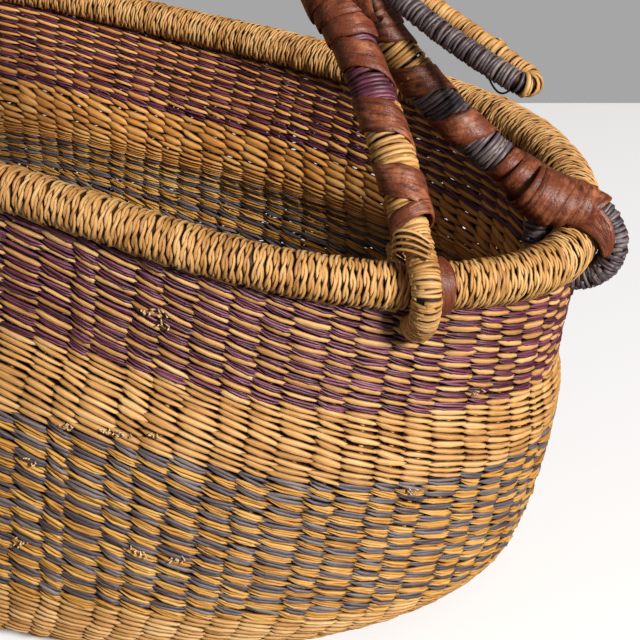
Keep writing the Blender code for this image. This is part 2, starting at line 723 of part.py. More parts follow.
def loop_path(end_turn):
    """A hairpin of rope from one side of the hinge, out and down, round its tip and back."""
    along, sideways = handle_axes(end_turn)
    root = hinge_point(end_turn)
    tip_radius = LOOP_ROOT_SPREAD
    straight = LOOP_REACH - tip_radius

    def place(out, across):
        share = out / LOOP_REACH
        return root + along * out + sideways * across - UP * LOOP_DROP * share ** LOOP_DROOP_SHARE

    strand = []
    for k in range(LOOP_POINTS):
        share = k / LOOP_POINTS
        strand.append((straight * share, LOOP_ROOT_SPREAD + LOOP_BULGE * math.sin(math.pi * share)))
    turns = [math.pi / 2 * (1 - 2 * k / TURN_POINTS) for k in range(TURN_POINTS + 1)]
    tip = [(straight + tip_radius * math.cos(turn), tip_radius * math.sin(turn)) for turn in turns]
    back = [(out, -across) for out, across in reversed(strand)]
    return [place(out, across) for out, across in strand + tip + back]


def loop(name, end_turn, group):
    """The hairpin loop, with its origin on its hinge."""
    root = hinge_point(end_turn)
    path = [spot - root for spot in loop_path(end_turn)]
    item = tube(name, path, LOOP_RADIUS, group, GREY_STRAW, 6)
    item.location = root
    return item


def build():
    clear_scene()
    group = new_collection("bolga_basket")
    cutters = new_collection("cutters")
    layers = {}
    for name, first, last, rows, colour in BANDS:
        for layer, side in LAYERS:
            layers[name, layer] = woven_layer(f"{name}_{layer}", side, first, last, rows, colour, group)
    stakes(group, cutters)
    oval_disc("base_centre_outer", 0, WEFT_THICKNESS, group)
    oval_disc("base_centre_inner", 2 * WALL_HALF - WEFT_THICKNESS, 2 * WALL_HALF, group)
    rim_core(group)
    rim_wrap(group)
    for leg in LEGS:
        tube(f"rope_{leg[0]}", rope_path(leg[1]), ROPE_RADIUS, group, NATURAL_STRAW)
    rooms = [rope_cutter(leg[1], cutters) for leg in LEGS]
    grip_leather(group)
    for end, end_turn in ENDS:
        for leg in LEGS:
            angle = foot_angle(end_turn, leg[1])
            hole = rim_chord(angle, 0, 0) - UP * eye_ring(angle)
            reach = 4 * (WALL_HALF + LAYER_OFFSET)
            hole_radius = (ROPE_RADIUS + HOLE_EASE) / math.cos(math.pi / SLEEVE_SIDES)
            passage = round_bar("passage", hole, outward(angle), hole_radius, reach, cutters)
            for layer, side in LAYERS:
                cut(layers["maroon_band", layer], passage)
            # Half a turn swaps front and back
            where = "front" if (leg[1] < 0) == (end == "right") else "back"
            strap(f"strap_{where}_{end}", angle, group)
            dress_leg(f"{where}_{end}", end_turn, leg, group)
        fork_lashing(f"fork_lashing_{end}", end_turn, rooms, group, cutters)
        loop(f"loop_{end}", end_turn, group)


build()
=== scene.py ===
"""A bolga basket, dressed: twined grass straw, a cord-wrapped wavy rim and a rope handle bound in leather.

Metres, +Z up, the same frame as the solids. The wall, the rim and the handle follow the same formulas as the
solids. Each straw of the weave is one spindle, modelled once and repeated along the rows.
"""
import math
from collections import namedtuple

import bpy
import numpy as np
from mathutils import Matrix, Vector


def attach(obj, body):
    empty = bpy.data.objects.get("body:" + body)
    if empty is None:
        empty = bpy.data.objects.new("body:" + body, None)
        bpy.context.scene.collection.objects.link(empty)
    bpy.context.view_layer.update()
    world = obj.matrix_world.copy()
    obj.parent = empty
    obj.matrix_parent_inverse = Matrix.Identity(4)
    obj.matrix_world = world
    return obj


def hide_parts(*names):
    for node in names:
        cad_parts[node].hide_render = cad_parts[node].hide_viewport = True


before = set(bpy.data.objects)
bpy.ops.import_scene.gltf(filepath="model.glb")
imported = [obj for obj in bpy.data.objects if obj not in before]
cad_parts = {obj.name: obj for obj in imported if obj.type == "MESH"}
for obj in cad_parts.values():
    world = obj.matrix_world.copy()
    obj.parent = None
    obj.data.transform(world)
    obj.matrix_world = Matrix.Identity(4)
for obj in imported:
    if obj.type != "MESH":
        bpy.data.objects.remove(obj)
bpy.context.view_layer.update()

# Rim, as in the solids
RIM_HALF_LENGTH = 0.2416
RIM_HALF_WIDTH = 0.1315
RIM_HEIGHT = 0.2050
RIM_RADIUS = 0.0100
CORE_RADIUS = 0.0060
SWELL = 0.055
SWELL_TURN = math.radians(15)
WALL_HALF = 0.0029
SEAT_GAP = 0.0003
TOP_DROP = CORE_RADIUS * (1 + SWELL) + SEAT_GAP
STAKE_STEP = math.radians(9)
TURN_RISE = 0.0040
# The rim's wave: order, cosine and sine part of each harmonic, and a crest at the far side
WAVE = ((1, -0.0027, 0.0), (2, -0.0110, 0.0036), (3, -0.0066, 0.0076), (4, 0.0050, -0.0015), (6, -0.0021, 0.0))
CREST_RISE = 0.0521
CREST_TURN = math.radians(124.6)
CREST_SHARPNESS = 7.9

# The wall from the rim to the middle of the floor: shares of the rim's half length and half width, height and
# share of the rim's wave
STATIONS = np.array([
    (1.0, 1.0, RIM_HEIGHT - TOP_DROP, 1.0),
    (0.970, 0.952, RIM_HEIGHT * 0.7020, 0.819),
    (0.974, 1.016, RIM_HEIGHT * 0.5455, 0.753),
    (0.905, 0.987, RIM_HEIGHT * 0.1544, 0.112),
    (0.754, 0.935, WALL_HALF + TURN_RISE, 0.0),
    (0.60, 0.70, WALL_HALF, 0.0),
    (0.14, 0.14, WALL_HALF, 0.0),
    (0.004, 0.004, WALL_HALF, 0.0),
])

# Handle, as in the solids
ROPE_RADIUS = 0.0066
FORK_REACH = 0.1460
FORK_RISE = 0.0855
LEFT_FORK_RISE = 0.0280
ARCH_RISE = 0.0530
GRIP_SPREAD = ROPE_RADIUS + 0.00015
HANDLE_TURN = -2 * STAKE_STEP
EYE_ROPE = 0.0060
LOOP_RADIUS = 0.0043
LOOP_REACH = 0.0600
LOOP_DROP = 0.0310
LOOP_ROOT_SPREAD = 0.0052
LOOP_BULGE = 0.0016
LOOP_OUT = 0.0250
LOOP_UP = 0.0040
UP = np.array([0.0, 0.0, 1.0])
# The right end's turn about the vertical and the left end's
ENDS = (("right", 0.0), ("left", math.pi))

# Weave
COLUMNS = 96
ROW_PITCH = 0.0031
STITCH_SLANT = 0.80
INNER_SLANT = 0.45
STITCH_COVER = 1.48              # a straw's length over its column's width
STITCH_TALL = 1.10               # a straw's height over its row's
STAKE_SIDES = 5
STRAND_SIDES = 5

# Camera, as fitted to the rim in the photograph, and the table's far edge ahead of it
CAMERA_SPOT = (0.3464, -0.5372, 0.3995)
CAMERA_TILT = math.radians(90 - 24.97)
CAMERA_YAW = math.radians(22.50)
SENSOR = 36
FOCAL_SHARE = 1350 / 640
TABLE_FAR = 1.408
TABLE_NEAR = -3.0
TABLE_HALF_WIDTH = 5

rng = np.random.default_rng(11)


# ---- Shape of the rim and the wall

def rim_wave(angle):
    crest = CREST_RISE * np.exp(CREST_SHARPNESS * (np.cos(angle - CREST_TURN) - 1))
    return sum(c * np.cos(n * angle) + s * np.sin(n * angle) for n, c, s in WAVE) + crest


def swell(angle):
    return 1 + SWELL * np.cos(2 * (angle - SWELL_TURN))


def unit(vectors):
    return vectors / np.maximum(np.linalg.norm(vectors, axis=-1, keepdims=True), 1e-12)


def stack(x, y, z):
    return np.stack(np.broadcast_arrays(x, y, z), axis=-1)


def outward(angle):
    return unit(stack(np.cos(angle) / RIM_HALF_LENGTH, np.sin(angle) / RIM_HALF_WIDTH, 0.0))


def rim_centre(angle):
    return stack(RIM_HALF_LENGTH * np.cos(angle), RIM_HALF_WIDTH * np.sin(angle), RIM_HEIGHT + rim_wave(angle))


def smooth(before, start, end, after, share):
    first = (end - before) / 2
    last = (after - start) / 2
    return (((2 * (start - end) + first + last) * share + 3 * (end - start) - 2 * first - last) * share
            + first) * share + start


def wall_middle(angle, place):
    place = np.clip(place, 0, len(STATIONS) - 1.0001)
    index = np.floor(place).astype(int)
    near = [STATIONS[np.clip(index + step, 0, len(STATIONS) - 1)] for step in (-1, 0, 1, 2)]
    values = smooth(*near, (place - index)[..., None])
    reach, width, height, wave = (values[..., k] for k in range(4))
    return stack(RIM_HALF_LENGTH * np.cos(angle) * reach, RIM_HALF_WIDTH * np.sin(angle) * width,
                 np.maximum(height, WALL_HALF) + wave * rim_wave(angle))


def wall_point(angle, place, offset):
    """A point of the wall, offset out of its middle."""
    step = 0.002
    angle, place, offset = np.broadcast_arrays(angle, place, offset)
    high = np.clip(place - step, 0, len(STATIONS) - 1.01)
    low = high + 2 * step
    down = wall_middle(angle, low) - wall_middle(angle, high)
    along = wall_middle(angle + step, place) - wall_middle(angle - step, place)
    return wall_middle(angle, place) + unit(np.cross(down, along)) * offset[..., None]


# Equal steps along the rim: the oval's angle for a share of its length, counted from +X
_angles = np.linspace(0, 2 * math.pi, 4097)
_pace = np.hypot(RIM_HALF_LENGTH * np.sin(_angles), RIM_HALF_WIDTH * np.cos(_angles))
_run = np.concatenate([[0], np.cumsum((_pace[1:] + _pace[:-1]) / 2)])
RIM_LENGTH = _run[-1] * (_angles[1] - _angles[0])
_run /= _run[-1]


def rim_angle(share):
    turns = np.floor(share)
    return np.interp(share - turns, _run, _angles) + 2 * math.pi * turns


def even_places(first, last, rows):
    """Edges of rows of equal height down the wall, as places between two stations."""
    places = np.linspace(first, last, 80)
    angles = np.linspace(0, 2 * math.pi, 24, endpoint=False)
    steps = np.linalg.norm(np.diff(wall_middle(angles[:, None], places), axis=1), axis=-1).mean(axis=0)
    run = np.concatenate([[0], np.cumsum(steps)])
    return np.interp(np.linspace(0, run[-1], rows + 1), run, places)


# ---- Mesh helpers

class Form:
    """A modelled shape, read once so that it can be repeated."""

    def __init__(self, item):
        mesh = item.data
        self.points = np.array([v.co for v in mesh.vertices], float)
        self.corners = np.array([i for p in mesh.polygons for i in p.vertices])
        self.starts = np.array([p.loop_start for p in mesh.polygons])
        bpy.data.objects.remove(item, do_unlink=True)


def faces_in(points, corners, starts):
    """True when a closed shape's faces point inwards."""
    centre = points.mean(axis=0)
    total = 0.0
    for face in np.split(corners, starts[1:]):
        ring = points[face] - centre
        total += float(np.einsum("ij,ij->", np.cross(ring[1:-1], ring[2:]), np.broadcast_to(ring[0], ring[2:].shape)))
    return total < 0


def repeated(name, corners, starts, points, uv, shade, material, nodes, body="basket", edge=None):
    """One piece made of many copies of a shape: points is copies by points by 3, uv the same by corner. Edge grows
    from 0 on a strand's crest to 1 at its sides and ends, for each point of the shape; the straw finishes paint shade
    by it."""
    copies, count = points.shape[:2]
    mesh = bpy.data.meshes.new(name)
    mesh.vertices.add(copies * count)
    mesh.vertices.foreach_set("co", points.astype(np.float32).ravel())
    turn = np.arange(copies)[:, None]
    mesh.loops.add(copies * len(corners))
    mesh.loops.foreach_set("vertex_index", (corners[None, :] + turn * count).astype(np.int32).ravel())
    mesh.polygons.add(copies * len(starts))
    mesh.polygons.foreach_set("loop_start", (starts[None, :] + turn * len(corners)).astype(np.int32).ravel())
    mesh.update(calc_edges=True)
    mesh.shade_smooth()
    layer = mesh.uv_layers.new(name="UVMap")
    layer.data.foreach_set("uv", uv.astype(np.float32).ravel())
    edge = np.zeros(count) if edge is None else edge
    for label, values in (("shade", np.repeat(shade, count)), ("edge", np.tile(edge, copies))):
        mesh.attributes.new(label, "FLOAT", "POINT").data.foreach_set("value", values.astype(np.float32))
    if faces_in(points[0], corners, starts):
        mesh.flip_normals()
    placed(bpy.data.objects.new(name, mesh), material, nodes, body, link=True)


def placed(item, material, nodes=(), body="basket", link=False):
    if link:
        bpy.context.scene.collection.objects.link(item)
    item.data.materials.clear()
    item.data.materials.append(material)
    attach(item, body)
    if nodes:
        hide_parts(*nodes)


def tube_net(stations, sides):
    """Corners and face starts of a capped tube, and each corner's station and side for its UV."""
    where, starts = [], []
    for k in range(stations - 1):
        for s in range(sides):
            starts.append(len(where))
            where += [(k, s), (k, s + 1), (k + 1, s + 1), (k + 1, s)]
    for k, order in ((0, -1), (stations - 1, 1)):
        starts.append(len(where))
        where += [(k, s) for s in range(sides)[::order]]
    where = np.array(where)
    return where[:, 0] * sides + where[:, 1] % sides, np.array(starts), where.astype(float)


def swept(name, paths, rises, half_wide, half_thick, sides, material, nodes, body="basket"):
    """Strands swept along many paths at once; rises points away from what each strand lies on."""
    copies, stations = paths.shape[:2]
    tangent = unit(np.gradient(paths, axis=1))
    across = unit(np.cross(tangent, rises))
    rise = np.cross(across, tangent)
    turn = 2 * math.pi * (np.arange(sides) + 0.5) / sides
    wide, thick = (np.broadcast_to(half, (copies, stations))[:, :, None, None] for half in (half_wide, half_thick))
    points = (paths[:, :, None] + across[:, :, None] * np.cos(turn)[:, None] * wide
              + rise[:, :, None] * np.sin(turn)[:, None] * thick)
    corners, starts, where = tube_net(stations, sides)
    shade = rng.random(copies)
    length = np.linalg.norm(np.diff(paths, axis=1), axis=-1).sum(axis=1)
    u = where[None, :, 0] / (stations - 1) * length[:, None] / 0.012 + shade[:, None] * 17
    v = where[None, :, 1] / sides + shade[:, None] * 5
    uv = np.stack([u, np.broadcast_to(v, u.shape)], axis=-1)
    # Painted shade: a strand's underside, where it lies on what is beneath, and its flanks are marked to darken.
    edge = np.tile(np.where(np.sin(turn) > 0, np.abs(np.cos(turn)) ** 2, 1.0), stations)
    repeated(name, corners, starts, points.reshape(copies, -1, 3), uv, shade, material, nodes, body, edge)


# ---- Materials

class Nodes:
    """A node tree, with short names for the nodes that the materials need."""

    def __init__(self, tree):
        self.tree = tree
        self.new = tree.nodes.new

    def feed(self, socket, value):
        """Gives a socket a number, a colour or a link."""
        if isinstance(value, (int, float)):
            socket.default_value = value
        elif isinstance(value, tuple):
            socket.default_value = (*value, 1)
        else:
            self.tree.links.new(value, socket)

    def math(self, kind, a, b, clamp=False):
        node = self.new("ShaderNodeMath")
        node.operation = kind
        node.use_clamp = clamp
        self.feed(node.inputs[0], a)
        self.feed(node.inputs[1], b)
        return node.outputs[0]

    def add(self, a, b):
        return self.math("ADD", a, b)

    def less(self, a, b):
        return self.math("SUBTRACT", a, b)

    def times(self, a, b, clamp=False):
        return self.math("MULTIPLY", a, b, clamp)

    def mix(self, factor, a, b, kind="MIX"):
        node = self.new("ShaderNodeMix")
        node.data_type = "RGBA"
        node.blend_type = kind
        for k, value in ((0, factor), (6, a), (7, b)):
            self.feed(node.inputs[k], value)
        return node.outputs[2]

    def noise(self, vector, scale, detail, rough):
        node = self.new("ShaderNodeTexNoise")
        for label, value in (("Scale", scale), ("Detail", detail), ("Roughness", rough), ("Vector", vector)):
            self.feed(node.inputs[label], value)
        return node.outputs["Fac"]

    def stretched(self, vector, shares):
        node = self.new("ShaderNodeVectorMath")
        node.operation = "MULTIPLY"
        node.inputs[1].default_value = shares
        self.feed(node.inputs[0], vector)
        return node.outputs[0]

    def bump(self, height, strength, distance):
        node = self.new("ShaderNodeBump")
        for label, value in (("Strength", strength), ("Distance", distance), ("Height", height)):
            self.feed(node.inputs[label], value)
        return node.outputs["Normal"]

    def uv(self):
        node = self.new("ShaderNodeUVMap")
        node.uv_map = "UVMap"
        return node.outputs["UV"]

    def place(self):
        return self.new("ShaderNodeTexCoord").outputs["Object"]

    def attribute(self, name):
        node = self.new("ShaderNodeAttribute")
        node.attribute_name = name
        return node.outputs["Fac"]

    def camera_ray(self):
        return self.new("ShaderNodeLightPath").outputs["Is Camera Ray"]


def new_material(name):
    """A material, its nodes and the inputs of its shader."""
    material = bpy.data.materials.new(name)
    material.use_nodes = True
    return material, Nodes(material.node_tree), material.node_tree.nodes["Principled BSDF"].inputs


def make_fibre_group():
    """Grass fibre: streaks along a straw, a tint of its own, worn pale patches, and painted shade darkening its sides
    and ends.
    """
    group = bpy.data.node_groups.new("grass fibre", "ShaderNodeTree")
    colour, number, vector = "NodeSocketColor", "NodeSocketFloat", "NodeSocketVector"
    for label, kind in (("UV", vector), ("Place", vector), ("Shade", number), ("Colour", colour), ("Deep", colour),
                        ("Pale", colour), ("Spread", number), ("Edge", number)):
        group.interface.new_socket(label, in_out="INPUT", socket_type=kind)
    for label, kind in (("Colour", colour), ("Roughness", number), ("Height", number)):
        group.interface.new_socket(label, in_out="OUTPUT", socket_type=kind)
    nodes = Nodes(group)
    given, out = nodes.new("NodeGroupInput").outputs, nodes.new("NodeGroupOutput").inputs
    along = nodes.stretched(given["UV"], (1.1, 9.0, 1.0))
    streak = nodes.noise(along, 1.6, 3.0, 0.6)
    fine = nodes.noise(along, 4.5, 2.0, 0.6)
    blotch = nodes.noise(given["Place"], 55.0, 2.0, 0.5)
    tint = nodes.times(nodes.less(given["Shade"], 0.5), given["Spread"])
    light = nodes.add(nodes.times(nodes.less(streak, 0.5), 1.7), tint)
    light = nodes.add(light, nodes.times(nodes.less(blotch, 0.5), 0.9))
    tone = nodes.mix(nodes.times(light, 1.6, clamp=True), given["Colour"], given["Pale"])
    tone = nodes.mix(nodes.times(light, -1.6, clamp=True), tone, given["Deep"])
    # Painted shade: the sides and ends of each straw, given by its edge value, darken towards a near black of its
    # deep colour.
    side = nodes.math("POWER", given["Edge"], 1.6)
    dark = nodes.mix(1.0, given["Deep"], (0.22, 0.17, 0.13), "MULTIPLY")
    nodes.feed(out["Colour"], nodes.mix(nodes.times(side, 0.92, clamp=True), tone, dark))
    nodes.feed(out["Roughness"], nodes.add(nodes.times(fine, 0.3), 0.34))
    nodes.feed(out["Height"], nodes.add(nodes.times(streak, 0.6), nodes.times(fine, 0.4)))
    return group


FIBRE = make_fibre_group()


def straw(name, colour, deep, pale, spread, gloss=0.35, bump=0.5):
    """A straw finish: its colour, that of its dark streaks and of its pale ones, and how far straws differ."""
    material, nodes, inputs = new_material(name)
    fibre = nodes.new("ShaderNodeGroup")
    fibre.node_tree = FIBRE
    for label, value in (("UV", nodes.uv()), ("Place", nodes.place()), ("Shade", nodes.attribute("shade")),
                         ("Edge", nodes.attribute("edge")), ("Colour", rgb(*colour)), ("Deep", rgb(*deep)),
                         ("Pale", rgb(*pale)), ("Spread", spread)):
        nodes.feed(fibre.inputs[label], value)
    nodes.feed(inputs["Normal"], nodes.bump(fibre.outputs["Height"], bump, 0.0003))
    nodes.feed(inputs["Base Color"], fibre.outputs["Colour"])
    nodes.feed(inputs["Roughness"], fibre.outputs["Roughness"])
    nodes.feed(inputs["Specular IOR Level"], gloss)
    return material


def rgb(red, green, blue):
    """Linear colour from the picture's own numbers."""
    return tuple((v / 255 / 12.92) if v <= 10 else ((v / 255 + 0.055) / 1.055) ** 2.4 for v in (red, green, blue))


NATURAL = straw("natural straw", (214, 158, 92), (126, 78, 36), (244, 206, 146), 0.45)
# The same natural straw for the inner face, warmer and more saturated: painted light standing for the orange light
# bounced about inside.
INNER_NATURAL_PAINTED_BOUNCE = straw("natural straw inside, painted bounce light", (230, 160, 82), (126, 68, 24), (250, 204, 132), 0.45)
CUT_STRAW = straw("cut straw ends", (236, 206, 160), (170, 126, 80), (252, 236, 208), 0.4)
GOLD = straw("gold straw", (212, 152, 68), (138, 84, 28), (240, 196, 116), 0.5)
MAROON = straw("maroon straw", (98, 38, 58), (44, 13, 26), (160, 92, 114), 0.6, gloss=0.7)
GREY = straw("grey straw", (98, 84, 88), (48, 38, 44), (152, 138, 130), 0.6, gloss=0.55)
RIM_STRAW = straw("wound straw", (216, 160, 92), (122, 72, 30), (244, 204, 142), 0.5)
RIM_CORD = straw("twisted rim cord", (222, 164, 94), (118, 70, 30), (248, 208, 146), 0.5, bump=0.7)
# Painted shade: a dark brown for the stakes and for the fillings inside the rim, legs and loops, seen only in the
# shaded gaps between straws.
PAINTED_SHADE_FILL = straw("stakes and fillings in painted shade", (70, 42, 22), (36, 20, 12), (100, 66, 38), 0.4)


def make_leather(name, colour, deep, pale):
    """Thin goat leather: creased, with painted shade in its creases, mottled, and pale along its high places, partly
    wear from rubbing and partly painted highlight.
    """
    material, nodes, inputs = new_material(name)
    place = nodes.place()
    crease = nodes.noise(nodes.stretched(nodes.uv(), (0.8, 5.0, 1.0)), 1.4, 4.0, 0.6)
    grain = nodes.noise(place, 750.0, 2.0, 0.6)
    blotch = nodes.noise(place, 110.0, 3.0, 0.55)
    # Paler on the high places: partly wear from rubbing, partly painted highlight.
    rubbed_wear_and_painted_highlight = nodes.less(nodes.add(blotch, nodes.times(crease, 0.6)), 0.82)
    # Painted shade: darker in the hollows of the creases.
    tone = nodes.mix(nodes.times(nodes.less(0.50, crease), 5.0, clamp=True), rgb(*colour), rgb(*deep))
    tone = nodes.mix(nodes.times(rubbed_wear_and_painted_highlight, 3.2, clamp=True), tone, rgb(*pale))
    height = nodes.add(nodes.times(crease, 0.7), nodes.times(grain, 0.5))
    nodes.feed(inputs["Base Color"], tone)
    nodes.feed(inputs["Roughness"], nodes.add(nodes.times(grain, 0.3), 0.32))
    nodes.feed(inputs["Normal"], nodes.bump(height, 0.8, 0.0008))
    nodes.feed(inputs["Specular IOR Level"], 0.5)
    return material


LEATHER = make_leather("goat leather", (114, 55, 30), (50, 22, 14), (180, 112, 76))


# ---- The straws of the weave

def straw_form(sides, rings, ends):
    """A straw of one stitch: a closed spindle along X, one long, one across, flat behind and tapered to its ends."""
    bpy.ops.mesh.primitive_uv_sphere_add(segments=sides, ring_count=rings, radius=0.5, rotation=(0, math.pi / 2, 0))
    item = bpy.context.object
    bpy.ops.object.transform_apply(location=False, rotation=True, scale=False)
    for low, high, narrow in ends:
        for vertex in item.data.vertices:
            vertex.select = low < abs(vertex.co.x) < high
        bpy.ops.object.mode_set(mode="EDIT")
        bpy.ops.mesh.select_mode(type="VERT")
        bpy.ops.transform.resize(value=(1, narrow, narrow), center_override=(0, 0, 0))
        bpy.ops.mesh.select_all(action="DESELECT")
        bpy.ops.object.mode_set(mode="OBJECT")
    for vertex in item.data.vertices:
        vertex.select = vertex.co.z < -0.05
    bpy.ops.object.mode_set(mode="EDIT")
    bpy.ops.transform.resize(value=(1, 1, 0.5), center_override=(0, 0, 0))
    bpy.ops.object.mode_set(mode="OBJECT")
    return Form(item)


BROAD = straw_form(6, 6, [(0.2, 0.3, 0.93), (0.4, 0.47, 0.62)])
THIN = straw_form(5, 5, [(0.1, 0.3, 0.96), (0.35, 0.45, 0.72)])


def lean(share):
    """How far the columns drift back along the rim with each row, in columns."""
    back = 0.105 * np.exp(4 * (np.cos(2 * math.pi * (share - 0.25)) - 1))
    return 0.030 + 0.030 * np.cos(4 * math.pi * (share - 0.735)) - back


def row_place(angle, place):
    """Rows lie closer together under the rim at the back than at the front."""
    share = np.clip(np.sin(angle) / 0.5, 0, 1)
    return place - share * share * (3 - 2 * share) * np.interp(place, [0, 1, 2, 3, 3.5], [0, 0.27, 0.42, 0.08, 0])


def ragged_edges(columns):
    """How far the columns' edges lie off an even spacing, in columns."""
    return np.random.default_rng(columns).normal(0, 0.09, columns)


def stitch_places(edges, columns, first_row=0, drift=True):
    """Where every stitch of some rows goes: share along the rim, width, place down the wall and row height."""
    rows = len(edges) - 1
    ragged = ragged_edges(columns)
    k = np.arange(columns + 1)
    ragged = np.concatenate([ragged, ragged[:1]])
    left = np.broadcast_to((k + ragged)[None, :], (rows, columns + 1)) + rng.normal(0, 0.05, (rows, columns + 1))
    if drift:
        left = left - lean(left / columns) * (first_row + np.arange(rows))[:, None]
    left[:, -1] = left[:, 0] + columns
    middle = (left[:, 1:] + left[:, :-1]) / 2 / columns
    width = np.diff(left, axis=1) / columns
    top = np.repeat(edges[:-1, None], columns, axis=1)
    height = np.repeat(np.diff(edges)[:, None], columns, axis=1)
    return middle, width, top + height / 2, height


def lay(name, form, places, side, material, nodes, strands=1, thick=0.0029, base=0.0018, dive=0.0006,
        slant=STITCH_SLANT):
    """Repeats a straw at each stitch's place on one face of the wall."""
    middle, width, place, height = (np.repeat(values.reshape(-1), strands) for values in places)
    copies = len(middle)
    strand = np.arange(copies) % strands
    lobe = (strand - (strands - 1) / 2) / strands
    x, y, z = form.points.T
    vary = rng.normal(0, 1, (copies, 6))
    x = x[None, :] * (STITCH_COVER + 0.05 * vary[:, :1])
    narrow = STITCH_TALL / strands * (1.18 if strands > 1 else 1)
    onward = np.clip(side * x * 1.5, -1, 1)
    y = y[None, :] * narrow * (1 + 0.14 * vary[:, 1:2]) * (1 - 0.34 * onward)
    phase = rng.random(copies)[:, None] * 2 * math.pi
    twist = 0.10 * np.sin(3.2 * x + phase) if strands > 1 else 0.05 * np.sin(4 * x + phase)
    fall = side * (slant + 0.12 * vary[:, 2:3])
    # A straw lies in a slight S, steeper at its ends where it dives between the stakes
    bend = 0.10 * side * np.sign(x) * (np.abs(x) * 1.7) ** 3
    drop = fall * x + bend + y + lobe[:, None] * STITCH_TALL * 0.92 * (1 - 0.5 * (1.6 * x) ** 2) + twist
    drop += 0.05 * vary[:, 3:4]
    out = base + z[None, :] * thick * (1 + 0.15 * vary[:, 4:5]) - dive * (np.abs(x) * 1.75) ** 3 * (1 + 0.7 * onward)
    out += 0.00012 * vary[:, 5:6]
    if strands > 1:
        out += 0.0003 * np.cos(3.2 * x + phase)
    angle = rim_angle(middle[:, None] + x * width[:, None])
    points = wall_point(angle, row_place(angle, place[:, None] + drop * height[:, None]), side * out)
    shade = rng.random(copies)
    fx, fy = form.points[form.corners, 0], form.points[form.corners, 1]
    uv = np.stack([fx[None, :] + 0.5 + shade[:, None] * 23, fy[None, :] * (1.0 / strands) + 0.5
                   + shade[:, None] * 11], axis=-1)
    # Painted shade: a straw's back, its sides and its ends, where it dives between the stakes, are marked to darken.
    fx, fy, fz = np.abs(form.points.T) * 2
    edge = np.clip(np.where(form.points[:, 2] > 0.05, 0.55 * (fy / np.maximum(np.hypot(fy, fz), 0.01)) ** 2, 1.0)
                   + 0.8 * np.clip(fx, 0, 1) ** 4, 0, 1)
    repeated(name, form.corners, form.starts, points, uv, shade, material, nodes, edge=edge)


# Bands: name, first and last station, rows, the straw of the lowest row and of the one above it
WEAVE = [
    ("maroon_band", 0, 1, 18, "maroon", "natural"),
    ("natural_band", 1, 2, 11, "natural", "natural"),
    ("grey_gold_band", 2, 3, 22, "gold", "grey"),
    ("lower_band", 3, 4.35, 16, "natural", "natural"),
]
FLOOR = [(4.35, 5.0, 96), (5.0, 5.45, 72), (5.45, 5.8, 48), (5.8, 6.0, 30)]
KINDS = {
    "natural": (BROAD, 1, NATURAL),
    "grey": (THIN, 2, GREY),
    "maroon": (THIN, 3, MAROON),
    "gold": (THIN, 3, GOLD),
}


def weave():
    for layer, side in (("outer", 1), ("inner", -1)):
        first_row = 0
        for band, first, last, rows, low_kind, high_kind in WEAVE:
            edges = even_places(first, last, rows)
            places = stitch_places(edges, COLUMNS, first_row)
            first_row += rows
            order = np.arange(rows)[::-1] % 2
            for kind in sorted({low_kind, high_kind}):
                rows_here = [r for r in range(rows) if (low_kind, high_kind)[order[r]] == kind]
                chosen = [values[rows_here] for values in places]
                form, strands, material = KINDS[kind]
                # On the inner face the natural straw takes its copy with painted bounce light.
                if side < 0 and material == NATURAL:
                    material = INNER_NATURAL_PAINTED_BOUNCE
                lay(f"{band}_{layer}_{kind}_straw", form, chosen, side, material, [f"{band}_{layer}"], strands,
                    slant=STITCH_SLANT if side > 0 else INNER_SLANT)
        flat = {"base": 0.0015, "thick": 0.0019, "dive": 0.0010}
        for part, (first, last, columns) in enumerate(FLOOR):
            mean = np.mean([np.linalg.norm(np.diff(wall_middle(a, np.array([first, last])), axis=0))
                            for a in (0.3, 0.8, 1.3)])
            rows = max(2, round(mean / ROW_PITCH))
            places = stitch_places(even_places(first, last, rows), columns, drift=False)
            for kind, start in (("maroon", 0), ("natural", 1)):
                chosen = [values[start::2] for values in places]
                form, strands, material = KINDS[kind]
                lay(f"floor_{layer}_{part}_{kind}_straw", form, chosen, side, material, [f"base_band_{layer}"],
                    min(strands, 2), **flat)
        places = stitch_places(np.linspace(6.0, 6.97, 11), 18, drift=False)
        lay(f"centre_{layer}_straw", BROAD, places, side, NATURAL, [f"base_centre_{layer}"], **flat)


weave()


def stakes_down(name, share, place, half_wide, half_thick, material):
    """Stakes in the middle of the wall, by their shares along the rim and places down the wall."""
    angle = rim_angle(share)
    place = np.broadcast_to(place, angle.shape)
    paths = wall_point(angle, place, np.zeros((1, 1)))
    rises = wall_point(angle, place, np.ones((1, 1))) - paths
    swept(name, paths, rises, half_wide, half_thick, STAKE_SIDES, material, ["stakes"])


def wall_stakes():
    """The grass stakes that the straws cross, bare between the straws."""
    rows = np.linspace(0, 51, 30)
    edges = np.concatenate([even_places(*band[1:4])[:-1] for band in WEAVE[:3]] + [[3.0]])
    place = np.interp(rows, np.arange(len(edges)), edges)
    ragged = ragged_edges(COLUMNS)
    k = np.arange(COLUMNS)
    middle = k + (ragged + np.roll(ragged, -1)) / 2 + 0.5
    share = (middle[:, None] - lean(middle / COLUMNS)[:, None] * rows[None, :]) / COLUMNS
    stakes_down("wall_stakes", np.concatenate([share, share[:, -1:], share[:, -1:]], axis=1),
                np.concatenate([place, [3.5, 4.2]]), 0.0014, 0.0011, INNER_NATURAL_PAINTED_BOUNCE)
    # Thin stakes set in between, all of them near the rim and about half of them further down, dark with painted
    # shade
    share = ((k + ragged)[:, None] + 0.02 - lean((k + ragged) / COLUMNS)[:, None] * rows[None, :]) / COLUMNS
    long_ones = np.random.default_rng(5).random(COLUMNS) < 0.5
    for name, pick, reach in (("short", ~long_ones, 11), ("long", long_ones, 30)):
        stakes_down(f"set_in_stakes_{name}", share[pick][:, :reach], place[:reach], 0.0013, 0.0008, PAINTED_SHADE_FILL)


wall_stakes()


